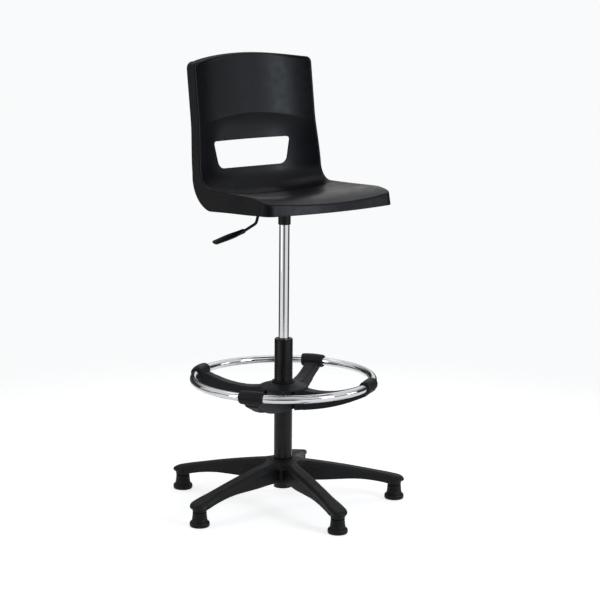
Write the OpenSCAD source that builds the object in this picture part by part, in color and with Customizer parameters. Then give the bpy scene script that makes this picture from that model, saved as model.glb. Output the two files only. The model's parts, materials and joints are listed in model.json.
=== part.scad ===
// Drafting chair: moulded shell on a gas spring column with a foot ring and a five-star base.
// Millimetres. The origin is on the floor under the column; +Z is up and the chair faces -Y.

/* [Seat shell] */
// Height of the side edge at the top corner of the back
back_top_z = 1210; // [1150:1:1260]
// How far behind the column the top corner of the back is
back_top_y = 149; // [120:1:190]
// Recline of the back from vertical, degrees
back_recline = 8; // [4:0.5:14]
// Height of the side edge of the seat above the column axis
seat_edge_z = 881; // [860:1:910]
// Upward slope of the seat towards the front, degrees
seat_rise = 2.3; // [0:0.1:5]
// Distance from the column axis to the start of the front roll
seat_front_y = 130; // [100:1:150]
// Radius of the side edge between back and seat
lap_r = 50; // [40:1:80]
// Radius of the roll at the front of the seat
roll_r = 215; // [100:5:240]
// Angle that the front roll turns through, degrees
roll_angle = 20.5; // [15:0.5:40]
// Wall thickness of the moulding
shell_wall = 4.5; // [3:0.1:6]
// Depth of the hollow across the upper back
dish_back = 35; // [10:1:40]
// Depth of the hollow across the back at the hand hole
dish_lumbar = 48; // [20:1:55]
// Depth of the hollow across the seat
dish_seat = 14; // [4:1:24]
// Depth of the hollow at the front edge of the seat
dish_front = 1; // [0:1:10]
// Depth of the turned-down rim along the back
rim_back = 31; // [12:1:40]
// Depth of the turned-back rim at the middle of the top edge
rim_top = 22; // [10:1:30]
// Depth of the turned-down rim where back and seat meet
rim_seat = 54; // [30:1:70]
// Rise of the top edge from its corners to its middle
top_arch = 20; // [0:1:40]
// Forward bow of the front edge from its corners to its middle
front_bow = 21; // [0:1:26]
// Half width of the hand hole at its top edge
hole_top_half_w = 126; // [80:1:135]
// Half width of the hand hole at its bottom edge
hole_bottom_half_w = 111; // [70:1:125]
// Height of the hand hole along the back
hole_h = 72; // [50:1:90]

/* [Seat mount] */
// Underside height of the seat plate
plate_z = 838; // [834:0.5:842]
// Width of the seat plate
plate_w = 138; // [120:1:140]
// Length of the seat plate
plate_l = 150; // [130:1:160]
// Sheet thickness of the seat plate
plate_t = 3; // [2:0.5:4]
// Outer diameter of the taper socket
socket_d = 34; // [32:0.5:38]
// Length of the taper socket under the plate
socket_l = 58; // [45:1:60]

/* [Gas spring] */
// Diameter of the gas spring cylinder
cylinder_d = 28; // [26:0.5:30]
// Height of the lower end of the cylinder when fully raised
cylinder_z = 368; // [350:1:372]
// Diameter of the piston rod
rod_d = 10; // [8:0.5:12]
// Height travel of the seat
seat_travel = 260; // [150:5:260]

/* [Lever] */
// Distance from the column axis to the lever's pivot
lever_pivot_x = 24; // [20:1:30]
// Height of the lever's pivot
lever_pivot_z = 853; // [852:0.5:855]
// Diameter of the lever rod
lever_d = 8; // [6:0.5:9]
// Distance from the column axis to the tip of the grip
grip_tip_x = 230; // [200:1:240]
// Width of the grip at its widest
grip_w = 26; // [16:1:30]
// Thickness of the grip at its middle
grip_t = 9; // [7:0.5:12]

/* [Column] */
// Outer diameter of the column tube
column_d = 50; // [48:0.5:52]
// Height of the top of the column tube
column_top_z = 463; // [455:1:466]
// Height of the lower end of the column tube
column_bottom_z = 48; // [44:1:60]
// Wall thickness of the column tube
column_wall = 3; // [2:0.5:4]

/* [Foot ring] */
// Radius of the centreline of the ring
ring_r = 245; // [220:1:255]
// Diameter of the ring's tube
ring_tube_d = 22; // [18:0.5:25]
// Height of the ring's centreline
ring_z = 353; // [340:1:360]
// Direction of the first spoke, degrees from +X
ring_angle = -145.5; // [-180:0.5:180]
// Radius of the clamp cap's section
clamp_r = 19; // [17:0.5:21]
// Length of a clamp along the ring
clamp_l = 66; // [50:1:80]
// Height of the underside of the spider's hub
spider_z = 274; // [265:1:280]

/* [Star base] */
// Radius of the circle that the glides stand on
base_r = 315; // [280:1:330]
// Direction of the first leg, degrees from +X
base_angle = -98; // [-180:0.5:180]
// Radius of the base's hub
hub_r = 42; // [38:1:46]
// Width of a leg at its middle
leg_w = 38; // [32:1:44]
// Height of a leg's top face beside the hub
leg_top_z = 127; // [118:1:132]
// Height of the glides
glide_h = 39.5; // [36:0.5:46]
// Diameter of the glides at the floor
glide_d = 54; // [48:1:60]

/* [Hidden] */
$fn = 48;

LEGS = 5;
SPOKES = 4;
run_gap = 0.05;     // radial clearance of every running fit
free_gap = 0.4;     // gap between faces of bodies that move past each other

// ---- Seat shell: a grid of points on the sitter's side, and a rim swept round its border ----

// Unit vectors in the side view, as [y, z]: down the back, and forward along the seat.
back_dir = [-sin(back_recline), -cos(back_recline)];
seat_dir = [-cos(seat_rise), sin(seat_rise)];
top_pt = [back_top_y, back_top_z];
seat_pt = [0, seat_edge_z];
// The corner where the back line and the seat line would cross.
corner_k = ((seat_pt - top_pt)[0] * seat_dir[1] - (seat_pt - top_pt)[1] * seat_dir[0])
    / (back_dir[0] * seat_dir[1] - back_dir[1] * seat_dir[0]);
corner_pt = top_pt + corner_k * back_dir;
lap_turn = 90 - back_recline + seat_rise;
lap_tangent = lap_r * tan(lap_turn / 2);
back_len = corner_k - lap_tangent;
lap_len = lap_r * lap_turn * PI / 180;
seat_len = (corner_pt[0] + seat_front_y) / cos(seat_rise) - lap_tangent;
roll_len = roll_r * roll_angle * PI / 180;
v_lap = back_len;
v_seat = back_len + lap_len;
v_roll = v_seat + seat_len;
v_end = v_roll + roll_len;

// The side edge, as [y, z], at distance v down from the top corner; and its direction angle.
function edge_angle(v) =
    v <= v_lap ? -90 - back_recline
    : v <= v_seat ? -90 - back_recline - (v - v_lap) / lap_r * 180 / PI
    : v <= v_roll ? -180 - seat_rise
    : -180 - seat_rise + (min(v, v_end) - v_roll) / roll_r * 180 / PI;
function turned(a) = [cos(a), sin(a)];
lap_start = top_pt + back_len * back_dir;
lap_centre = lap_start + lap_r * turned(edge_angle(0) - 90);
seat_start = lap_centre + lap_r * turned(edge_angle(v_roll) + 90);
roll_start = seat_start + seat_len * seat_dir;
roll_centre = roll_start + roll_r * turned(edge_angle(v_roll) + 90);
function edge_pt(v) =
    v <= v_lap ? top_pt + v * back_dir
    : v <= v_seat ? lap_centre + lap_r * turned(edge_angle(v) + 90)
    : v <= v_roll ? seat_start + (v - v_seat) * seat_dir
    : roll_centre + roll_r * turned(edge_angle(v) - 90)
        + max(0, v - v_end) * turned(edge_angle(v));
// Away from the sitter: backwards on the back, downwards under the seat.
function away(v) = turned(edge_angle(min(v, v_roll)) + 90);

function clamp01(x) = max(0, min(1, x));
function smooth(x) = let (c = clamp01(x)) c * c * (3 - 2 * c);
function mix(a, b, k) = a + (b - a) * k;

// Half width of the seat's face along the side edge, before its corners are rounded.
back_half_w = 188;
lap_half_w = 195.5;
seat_half_w = 194;
front_half_w = 203;
function edge_half_w(v) =
    v < v_lap ? mix(back_half_w, lap_half_w, smooth(2 * v / v_lap - 1))
    : v < v_seat ? mix(lap_half_w, seat_half_w, (v - v_lap) / lap_len)
    : mix(seat_half_w, front_half_w, smooth((v - v_seat - 60) / 150));
top_corner_r = 12;
front_corner_r = 26;
function round_in(x, r) = let (c = clamp01((r - x) / r)) r - r * sqrt(1 - c * c);
function half_w(v) = edge_half_w(v) - round_in(v, top_corner_r) - round_in(v_end - v, front_corner_r);

// Depth of the hollow across the shell. Below an arched line the back is hollowed further.
crease_v = 147;
crease_arch = 23;
crease_fade = 64;
function eased(x) = let (c = 1 - clamp01(x)) 1 - c * c;
function dish(s, v) =
    let (line = crease_v + crease_arch * s * s,
        lumbar = mix(dish_back, dish_lumbar, eased((v - line) / crease_fade)))
    v < v_lap ? lumbar
    : v < v_seat + 40 ? mix(dish_lumbar, dish_seat, smooth((v - v_lap) / (lap_len + 40)))
    : mix(dish_seat, dish_front, smooth((v - v_seat - 60) / (v_end - v_seat - 60)));
function hollow(s) = 1 - pow(abs(s), 3);
hole_v = 213;
// Rows bow up towards the top edge and forward towards the front edge.
function bowed(s, v) = v
    - top_arch * (1 - s * s) * clamp01(1 - v / (hole_v + 40))
    + front_bow * (1 - s * s) * smooth((v - v_seat) / (v_end - v_seat));
function shell_pt(s, v) =
    let (b = bowed(s, v), p = edge_pt(b) + dish(s, v) * hollow(s) * away(v))
    [s * half_w(v), p[0], p[1]];

// Grid lines. The hand hole is the cells between columns hole_c and -hole_c in its rows.
hole_corner_r = [9, 17];
function hole_half_w(v) =
    let (k = (v - hole_v) / hole_h)
    mix(hole_top_half_w, hole_bottom_half_w, clamp01(k))
        - round_in(v - hole_v, hole_corner_r[0])
        - round_in(hole_v + hole_h - v, hole_corner_r[1]);
function arc_steps(from, r, n) = [for (i = [0:n]) from + r * (1 - cos(90 * i / n))];
function even_steps(from, to, n) = [for (i = [1:n]) mix(from, to, i / n)];
rows = concat(
    arc_steps(0, top_corner_r, 2),
    even_steps(top_corner_r, hole_v, 9),
    [for (i = [1:3]) hole_v + hole_corner_r[0] * (1 - cos(30 * i))],
    even_steps(hole_v + hole_corner_r[0], hole_v + hole_h - hole_corner_r[1], 3),
    [for (i = [1:4]) hole_v + hole_h - hole_corner_r[1] * (1 - sin(22.5 * i))],
    even_steps(hole_v + hole_h, v_seat, 8),
    even_steps(v_seat, v_end - front_corner_r, 10),
    [for (i = [1:4]) v_end - front_corner_r * (1 - sin(22.5 * i))]);
hole_c = 6;
cols_half = 10;
row_n = len(rows) - 1;
col_n = 2 * cols_half;
function hole_s(v) = hole_half_w(max(hole_v, min(hole_v + hole_h, v))) / half_w(v);
function col_s(i, v) =
    let (c = abs(i - cols_half), h = min(0.72, hole_s(v)))
    sign(i - cols_half) * (c <= hole_c ? h * c / hole_c : mix(h, 1, (c - hole_c) / (cols_half - hole_c)));
function in_hole(i, j) =
    let (v = (rows[j] + rows[j + 1]) / 2)
    v > hole_v && v < hole_v + hole_h && abs(i + 0.5 - cols_half) < hole_c;

// Border of the grid: down the left edge, along the front, up the right edge, back along the top.
border = concat(
    [for (j = [0:row_n]) [0, j]],
    [for (i = [1:col_n]) [i, row_n]],
    [for (j = [row_n - 1:-1:0]) [col_n, j]],
    [for (i = [col_n - 1:-1:1]) [i, 0]]);
border_n = len(border);
bend_r = 5;
rim_draft = 0.12;
rim_steps = [[45, 0], [90, 0], [90, 1]];     // bend angle, and how far down the rim's wall
rim_n = len(rim_steps);
// Outward direction of the border at a grid point, turning round the rounded corners.
function outward(i, j) =
    let (v = rows[j], side = i == 0 ? -1 : i == col_n ? 1 : 0,
        top = clamp01((top_corner_r - v) / top_corner_r),
        front = clamp01((v - v_end + front_corner_r) / front_corner_r),
        along = turned(edge_angle(v)),
        a = side == 0 ? 1 : max(top, front),
        dir = front > 0 ? 1 : -1)
    [side * sqrt(1 - a * a), dir * a * along[0], dir * a * along[1]];
// Depth of the rim: even along the back, growing round the lap, then down to a sloping plane.
rim_slope = 0.08;
function rim_depth(s, v, z) =
    v < v_lap ? (v > 0 ? rim_back : mix(rim_top, rim_back, s * s))
    : v < v_seat ? mix(rim_back, rim_seat, (v - v_lap) / lap_len)
    : z - (edge_pt(v_seat)[1] - rim_seat) - rim_slope * (v - v_seat);
function rim_pt(b, k, inset) =
    let (i = border[b][0], j = border[b][1], v = rows[j],
        s = col_s(i, v), p = shell_pt(s, v), out = outward(i, j),
        n = [0, away(v)[0], away(v)[1]], phi = rim_steps[k][0],
        depth = max(bend_r + 2, rim_depth(s, v, p[2])) - bend_r,
        wall = rim_steps[k][1] * depth)
    p + out * (bend_r * sin(phi) + rim_draft * wall - inset * sin(phi))
        + n * (bend_r * (1 - cos(phi)) + wall + inset * cos(phi));
function skin_pt(i, j, inset) =
    let (v = rows[j], p = shell_pt(col_s(i, v), v))
    p + inset * [0, away(v)[0], away(v)[1]];

grid_n = (row_n + 1) * (col_n + 1);
side_n = grid_n + border_n * rim_n;
function grid_id(i, j) = j * (col_n + 1) + i;
function rim_id(b, k) = k < 0 ? grid_id(border[b][0], border[b][1]) : grid_n + k * border_n + b;
shell_quads = concat(
    [for (j = [0:row_n - 1], i = [0:col_n - 1]) if (!in_hole(i, j))
        [grid_id(i, j), grid_id(i, j + 1), grid_id(i + 1, j + 1), grid_id(i + 1, j)]],
    [for (k = [0:rim_n - 1], b = [0:border_n - 1]) let (c = (b + 1) % border_n)
        [rim_id(b, k - 1), rim_id(b, k), rim_id(c, k), rim_id(c, k - 1)]]);
rim_edge = [for (b = [0:border_n - 1]) let (c = (b + 1) % border_n, k = rim_n - 1)
    [rim_id(b, k), rim_id(b, k) + side_n, rim_id(c, k) + side_n, rim_id(c, k)]];
hole_rows = [for (j = [0:row_n - 1]) if (in_hole(cols_half, j)) j];
hole_j0 = hole_rows[0];
hole_j1 = hole_rows[len(hole_rows) - 1] + 1;
hole_i0 = cols_half - hole_c;
hole_i1 = cols_half + hole_c;
function hole_side(i0, j0, i1, j1) =
    [grid_id(i0, j0), grid_id(i0, j0) + side_n, grid_id(i1, j1) + side_n, grid_id(i1, j1)];
hole_edge = concat(
    [for (j = [hole_j0:hole_j1 - 1]) hole_side(hole_i0, j + 1, hole_i0, j)],
    [for (j = [hole_j0:hole_j1 - 1]) hole_side(hole_i1, j, hole_i1, j + 1)],
    [for (i = [hole_i0:hole_i1 - 1]) hole_side(i, hole_j0, i + 1, hole_j0)],
    [for (i = [hole_i0:hole_i1 - 1]) hole_side(i + 1, hole_j1, i, hole_j1)]);
// Each quad is two triangles, so that every face of the skin is flat.
function halves(quads) = [for (q = quads, t = [0, 1]) t == 0 ? [q[2], q[1], q[0]] : [q[3], q[2], q[0]]];
function side_points(inset) = concat(
    [for (j = [0:row_n], i = [0:col_n]) skin_pt(i, j, inset)],
    [for (k = [0:rim_n - 1], b = [0:border_n - 1]) rim_pt(b, k, inset)]);

module shell_skin() {
    inner = [for (q = shell_quads) [q[3] + side_n, q[2] + side_n, q[1] + side_n, q[0] + side_n]];
    polyhedron(points = concat(side_points(0), side_points(shell_wall)),
        faces = halves(concat(shell_quads, inner, rim_edge, hole_edge)), convexity = 6);
}

// ---- Seat mount and lever ----

plate_top_z = plate_z + plate_t;
plate_y = -14;
plate_corner_r = 12;
plate_fold = 9;
screw_x = 56;
screw_y = 50;
screw_r = 3;
screw_head_r = 6;
screw_head_h = 3.5;
screw_l = 16;
boss_r = 8;
module at_screws() {
    for (x = [-screw_x, screw_x], y = [-screw_y, screw_y]) translate([x, plate_y + y, 0]) children();
}
// Height of the middle of the shell's wall above a screw, where a boss ends.
function boss_top_z(y) =
    let (v = v_seat + (seat_start[0] - y) / cos(seat_rise))
    shell_pt(screw_x / half_w(v), v)[2] - shell_wall / 2;

module seat_shell() {
    color([0.13, 0.13, 0.14]) difference() {
        union() {
            shell_skin();
            for (x = [-screw_x, screw_x], y = [plate_y - screw_y, plate_y + screw_y])
                translate([x, y, plate_top_z]) cylinder(r = boss_r, h = boss_top_z(y) - plate_top_z);
        }
        at_screws() translate([0, 0, plate_top_z - 1]) cylinder(r = screw_r, h = screw_l + 1);
    }
}

module rounded_plate(w, l, r) {
    square([w - 2 * r, l], center = true);
    square([w, l - 2 * r], center = true);
    for (x = [-1, 1], y = [-1, 1]) translate([x * (w / 2 - r), y * (l / 2 - r)]) circle(r = r);
}

cylinder_r = cylinder_d / 2;
taper_r = cylinder_r - 0.7;
cylinder_top_z = plate_z + 6;
plate_hole_gap = 0.3;
module seat_plate() {
    color([0.1, 0.1, 0.1]) difference() {
        union() {
            translate([0, plate_y, plate_z]) linear_extrude(plate_t)
                rounded_plate(plate_w, plate_l, plate_corner_r);
            for (x = [-1, 1]) translate([x * (plate_w - plate_t) / 2, plate_y, plate_z - plate_fold / 2])
                cube([plate_t, plate_l - 2 * plate_corner_r, plate_fold], center = true);
        }
        translate([0, 0, plate_z - 1]) cylinder(r = taper_r + plate_hole_gap, h = plate_t + 2);
        at_screws() translate([0, 0, plate_z - 1]) cylinder(r = screw_r + plate_hole_gap, h = plate_t + 2);
    }
}

module plate_screws() {
    color([0.6, 0.6, 0.62]) at_screws() {
        translate([0, 0, plate_z]) cylinder(r = screw_r, h = screw_l);
        translate([0, 0, plate_z - screw_head_h]) difference() {
            cylinder(r = screw_head_r, h = screw_head_h);
            translate([0, 0, -1]) cylinder(r = screw_r, h = screw_head_h / 2 + 1, $fn = 6);
        }
    }
}

socket_z = plate_z - socket_l;
socket_flange_r = 27;
socket_flange_t = 5;
chamfer = 1.5;
module taper_socket() {
    r = socket_d / 2;
    color([0.07, 0.07, 0.07]) rotate_extrude() polygon([
        [cylinder_r, socket_z], [r - chamfer, socket_z], [r, socket_z + chamfer],
        [r, plate_z - socket_flange_t - chamfer], [r + chamfer, plate_z - socket_flange_t],
        [socket_flange_r, plate_z - socket_flange_t], [socket_flange_r, plate_z],
        [taper_r, plate_z]]);
}

bracket_gap = 11;
bracket_t = 3;
bracket_l = 20;
bracket_top_z = lever_pivot_z + 6.5;
pivot_r = 2.5;
pin_overhang = 2.5;
module along_pivot(from, to, r) {
    translate([-lever_pivot_x, to, lever_pivot_z]) rotate([90, 0, 0]) cylinder(r = r, h = to - from);
}
module lever_bracket() {
    color([0.1, 0.1, 0.1]) difference() {
        for (side = [-1, 1])
            translate([-lever_pivot_x, side * (bracket_gap + bracket_t) / 2, 0]) {
                translate([-bracket_l / 2, -bracket_t / 2, plate_top_z])
                    cube([bracket_l, bracket_t, bracket_top_z - plate_top_z]);
            }
        along_pivot(-bracket_gap, bracket_gap, pivot_r);
    }
}

module lever_pivot_pin() {
    end = bracket_gap / 2 + bracket_t;
    color([0.7, 0.7, 0.72]) {
        along_pivot(-end - pin_overhang, end + pin_overhang, pivot_r);
        along_pivot(-end - pin_overhang, -end, pivot_r + 1.5);
        along_pivot(end, end + 1, pivot_r + 1.5);
    }
}

eye_r = 6.5;
eye_w = 9;
tab_w = 7;
tab_z = lever_pivot_z - 2;
tab_t = 4.5;
tab_reach = 5;
rod_socket_l = 18;
rod_socket_depth = 8;
lever_r = lever_d / 2;
// The crank turns on the pivot pin: its tab presses the release pin, its socket holds the rod.
module lever_crank() {
    color([0.1, 0.1, 0.1]) difference() {
        union() {
            along_pivot(-eye_w / 2, eye_w / 2, eye_r);
            translate([-lever_pivot_x, -tab_w / 2, tab_z]) cube([lever_pivot_x + tab_reach, tab_w, tab_t]);
            translate([-lever_pivot_x, 0, lever_pivot_z]) rotate([0, -90, 0])
                cylinder(r = eye_r - 1, h = rod_socket_l);
        }
        along_pivot(-eye_w, eye_w, pivot_r + run_gap);
        translate([-lever_pivot_x - rod_socket_l + rod_socket_depth, 0, lever_pivot_z]) rotate([0, -90, 0])
            cylinder(r = lever_r, h = rod_socket_depth + 1);
    }
}

// The lever's rod, as [x, z]: out from the crank, down past the plate, then out to the grip.
lever_pts = [[-lever_pivot_x - rod_socket_l + rod_socket_depth, lever_pivot_z],
    [-74, lever_pivot_z], [-93, 791], [-141, 769.4]];
lever_bend_r = 14;
bend_steps = 6;
rod_sides = 20;
function heading(a, b) = (atan2(b[1] - a[1], b[0] - a[0]) + 360) % 360;
lever_headings = [for (i = [0:2]) heading(lever_pts[i], lever_pts[i + 1])];
// Stations of the bend at point i, each as [x, z, heading].
function bend_stations(i) =
    let (h0 = lever_headings[i - 1], turn = lever_headings[i] - h0, side = sign(turn),
        start = lever_pts[i] - lever_bend_r * tan(abs(turn) / 2) * turned(h0),
        centre = start + side * lever_bend_r * turned(h0 + 90))
    [for (k = [0:bend_steps]) let (h = h0 + turn * k / bend_steps)
        concat(centre - side * lever_bend_r * turned(h + 90), [h])];
rod_stations = concat([concat(lever_pts[0], [lever_headings[0]])], bend_stations(1), bend_stations(2),
    [concat(lever_pts[3], [lever_headings[2]])]);
module lever_rod() {
    n = len(rod_stations);
    points = [for (st = rod_stations, k = [0:rod_sides - 1])
        let (a = 360 * k / rod_sides, up = lever_r * cos(a) * turned(st[2] + 90))
        [st[0] + up[0], lever_r * sin(a), st[1] + up[1]]];
    walls = [for (i = [0:n - 2], k = [0:rod_sides - 1])
        let (a = i * rod_sides, b = a + rod_sides, m = (k + 1) % rod_sides)
        [a + k, a + m, b + m, b + k]];
    color([0.08, 0.08, 0.08]) polyhedron(points = points, faces = concat(halves(walls),
        [[for (k = [0:rod_sides - 1]) k]], [[for (k = [rod_sides - 1:-1:0]) (n - 1) * rod_sides + k]]));
}

module rod_between(a, b, r) {
    d = b - a;
    translate([a[0], 0, a[1]]) rotate([0, atan2(d[0], d[1]), 0]) cylinder(r = r, h = norm(d));
}
// Grip stations, as [x, z]: the neck on the rod, the widest place and the tip.
grip_neck = [-138, 772.5];
grip_mid = [-178, 762.7];
grip_end = [-grip_tip_x + 10, 752.4];
grip_neck_r = 6.5;
grip_end_w = 20;
grip_end_t = 7;
grip_slope = 14;
grip_roll = 12;
module grip_bead(at, w, t) {
    translate([at[0], 0, at[1]]) rotate([0, -grip_slope, 0]) rotate([grip_roll, 0, 0])
        scale([w / t, w / t, 1]) sphere(d = t, $fn = 32);
}
module lever_grip() {
    color([0.1, 0.1, 0.1]) difference() {
        union() {
            hull() {
                translate([grip_neck[0], 0, grip_neck[1]]) sphere(r = grip_neck_r, $fn = 32);
                grip_bead(grip_mid, grip_w, grip_t);
            }
            hull() {
                grip_bead(grip_mid, grip_w, grip_t);
                grip_bead(grip_end, grip_end_w, grip_end_t);
            }
        }
        rod_between(lever_pts[2], lever_pts[3], lever_r);
    }
}

// ---- Gas spring ----

pin_r = 3;
pin_gap = 0.8;
pin_z = plate_z - 26;
pin_top_z = tab_z - pin_gap;
module release_pin() {
    color([0.75, 0.75, 0.77]) translate([0, 0, pin_z]) cylinder(r = pin_r, h = pin_top_z - pin_z);
}

spring_bore_r = cylinder_r - 1.5;
valve_z = plate_z - 38;
valve_floor = 6;
module valve_housing() {
    color([0.55, 0.5, 0.35]) difference() {
        translate([0, 0, valve_z]) cylinder(r = spring_bore_r, h = plate_z - valve_z);
        translate([0, 0, valve_z + valve_floor]) cylinder(r = pin_r + run_gap, h = plate_z - valve_z);
    }
}

module gas_cylinder() {
    color([0.85, 0.86, 0.88]) rotate_extrude() polygon([
        [spring_bore_r, cylinder_z], [cylinder_r, cylinder_z], [cylinder_r, socket_z],
        [taper_r, plate_z], [taper_r, cylinder_top_z], [pin_r + 0.6, cylinder_top_z],
        [pin_r + 0.6, plate_z], [spring_bore_r, plate_z]]);
}

module ring_part(inner_r, outer_r, from, to) {
    translate([0, 0, from]) difference() {
        cylinder(r = outer_r, h = to - from);
        translate([0, 0, -1]) cylinder(r = inner_r, h = to - from + 2);
    }
}

rod_r = rod_d / 2;
gland_h = 18;
seal_h = 6;
module cylinder_gland() {
    color([0.3, 0.3, 0.32]) ring_part(rod_r + run_gap, spring_bore_r, cylinder_z, cylinder_z + gland_h);
}
module rod_seal() {
    z = cylinder_z + gland_h;
    color([0.05, 0.05, 0.05]) ring_part(rod_r + run_gap, spring_bore_r, z, z + seal_h);
}

piston_z = cylinder_z + 30;
piston_h = 12;
piston_r = spring_bore_r - run_gap;
groove_h = 4;
groove_depth = 1.5;
spigot_r = rod_r - 1;
groove_z = piston_z + (piston_h - groove_h) / 2;
module piston_head() {
    color([0.6, 0.6, 0.62]) difference() {
        ring_part(spigot_r, piston_r, piston_z, piston_z + piston_h);
        ring_part(piston_r - groove_depth, piston_r + 1, groove_z, groove_z + groove_h);
    }
}
module piston_seal() {
    color([0.05, 0.05, 0.05])
        ring_part(piston_r - groove_depth, piston_r, groove_z, groove_z + groove_h);
}

// Stack at the lower end of the rod, upwards from the end plate.
end_plate_t = 4;
end_plate_z = column_bottom_z + 6;
lower_race_z = end_plate_z + end_plate_t;
race_t = 2;
race_r = 12;
ball_r = 2;
ball_gap = 0.3;
ball_z = lower_race_z + race_t + ball_gap + ball_r;
upper_race_z = ball_z + ball_r;
shoulder_z = upper_race_z + race_t;
bump_z = shoulder_z + 1;
bump_h = 18;
bump_r = 9;
clip_t = 1.5;
clip_z = end_plate_z - 1 - clip_t;
clip_r = 7;
rod_end_z = clip_z - 1;
module piston_rod() {
    head_z = piston_z + piston_h;
    color([0.8, 0.8, 0.82]) rotate_extrude() polygon([
        [0, rod_end_z], [spigot_r, rod_end_z], [spigot_r, shoulder_z], [rod_r, shoulder_z],
        [rod_r, piston_z], [spigot_r, piston_z], [spigot_r, head_z], [rod_r + 1, head_z],
        [rod_r + 1, head_z + 2], [0, head_z + 2]]);
}
module bump_stop() {
    color([0.06, 0.06, 0.06]) ring_part(rod_r, bump_r, bump_z, bump_z + bump_h);
}
module bearing_upper_race() {
    color([0.65, 0.65, 0.67]) ring_part(spigot_r, race_r, upper_race_z, upper_race_z + race_t);
}
ball_n = 10;
ball_ring_r = 8;
cage_t = 1.6;
module at_balls() {
    for (i = [0:ball_n - 1]) rotate([0, 0, i * 360 / ball_n]) translate([ball_ring_r, 0, ball_z]) children();
}
module bearing_cage() {
    color([0.7, 0.6, 0.3]) difference() {
        ring_part(spigot_r + 0.5, race_r - 0.5, ball_z - cage_t / 2, ball_z + cage_t / 2);
        at_balls() translate([0, 0, -cage_t]) cylinder(r = ball_r, h = 2 * cage_t);
    }
}
module bearing_balls() {
    color([0.8, 0.8, 0.82]) at_balls() sphere(r = ball_r - 0.01);
}
module rod_clip() {
    color([0.4, 0.4, 0.42]) difference() {
        ring_part(spigot_r, clip_r, clip_z, clip_z + clip_t);
        translate([0, -1.5, clip_z - 1]) cube([clip_r + 1, 3, clip_t + 2]);
    }
}
module bearing_lower_race() {
    color([0.65, 0.65, 0.67]) ring_part(spigot_r + 0.5, race_r, lower_race_z, lower_race_z + race_t);
}

// ---- Column ----

column_r = column_d / 2;
tube_bore_r = column_r - column_wall;
bush_l = 80;
bush_lip = 3;
module column_end_plate() {
    color([0.3, 0.3, 0.3])
        ring_part(spigot_r + run_gap, tube_bore_r, end_plate_z, end_plate_z + end_plate_t);
}
module column_tube() {
    color([0.09, 0.09, 0.09]) ring_part(tube_bore_r, column_r, column_bottom_z, column_top_z);
}
module guide_bush() {
    color([0.05, 0.05, 0.05]) rotate_extrude() polygon([
        [cylinder_r + run_gap, column_top_z - bush_l], [tube_bore_r, column_top_z - bush_l],
        [tube_bore_r, column_top_z], [column_r - 0.5, column_top_z],
        [column_r - 0.5, column_top_z + bush_lip - 1], [column_r - chamfer, column_top_z + bush_lip],
        [cylinder_r + run_gap, column_top_z + bush_lip]]);
}

// ---- Foot ring ----

ring_half_t = ring_tube_d / 2;
collet_wall = 4.4;
collet_r = column_r + run_gap + collet_wall;
spider_top_z = ring_z - 9;
collet_top_z = spider_top_z + 5;
collet_slit = 3;
module ring_collet() {
    color([0.08, 0.08, 0.08]) difference() {
        union() {
            ring_part(column_r + run_gap, collet_r, spider_z + 1, collet_top_z);
            ring_part(column_r + run_gap, collet_r + chamfer, spider_top_z + free_gap, collet_top_z);
        }
        translate([column_r - 1, -collet_slit / 2, spider_z]) cube([collet_wall + 4, collet_slit, 100]);
    }
}

spoke_r0 = 30;
spoke_r1 = ring_r;
// Underside, top and half width of a spoke at distance r from the column axis.
function spoke_low(r) = spider_z - 1 + 0.0012 * pow(r - spoke_r0, 2);
function spoke_high(r) = ring_z - 27 + 0.0019 * pow(r - 105, 2);
function spoke_half_w(r) = 16 + 24 * exp((spoke_r0 - r) / 28) + 0.0016 * pow(max(0, r - 190), 2);
spoke_steps = [for (i = [0:18]) mix(spoke_r0, spoke_r1, i / 18)];
clamp_half_angle = clamp_l / 2 / ring_r * 180 / PI;
// A bar along +X, from its underside, top and half width at each station.
module bar(stations, lows, highs, half_ws) {
    last = len(stations) - 1;
    intersection() {
        rotate([90, 0, 0]) linear_extrude(200, center = true) polygon(concat(
            [for (i = [0:last]) [stations[i], lows[i]]],
            [for (i = [last:-1:0]) [stations[i], highs[i]]]));
        linear_extrude(600) polygon(concat(
            [for (i = [0:last]) [stations[i], -half_ws[i]]],
            [for (i = [last:-1:0]) [stations[i], half_ws[i]]]));
    }
}
spoke_skin = 5;
spoke_hollow_from = 56;
spoke_hollow_to = 205;
spoke_rib_t = 3;
spoke_rib_pitch = 48;
module spoke() {
    inside = [for (r = spoke_steps) if (r > spoke_hollow_from && r < spoke_hollow_to) r];
    difference() {
        bar(spoke_steps, [for (r = spoke_steps) spoke_low(r)],
            [for (r = spoke_steps) min(ring_z, spoke_high(r))], [for (r = spoke_steps) spoke_half_w(r)]);
        difference() {
            bar(inside, [for (r = inside) 0], [for (r = inside) spoke_high(r) - spoke_skin],
                [for (r = inside) spoke_half_w(r) - spoke_skin]);
            for (i = [1:2]) translate([spoke_hollow_from + i * spoke_rib_pitch, -60, 0])
                cube([spoke_rib_t, 120, ring_z]);
            translate([0, -spoke_rib_t / 2, 0]) cube([spoke_r1, spoke_rib_t, ring_z]);
        }
    }
}
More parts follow.
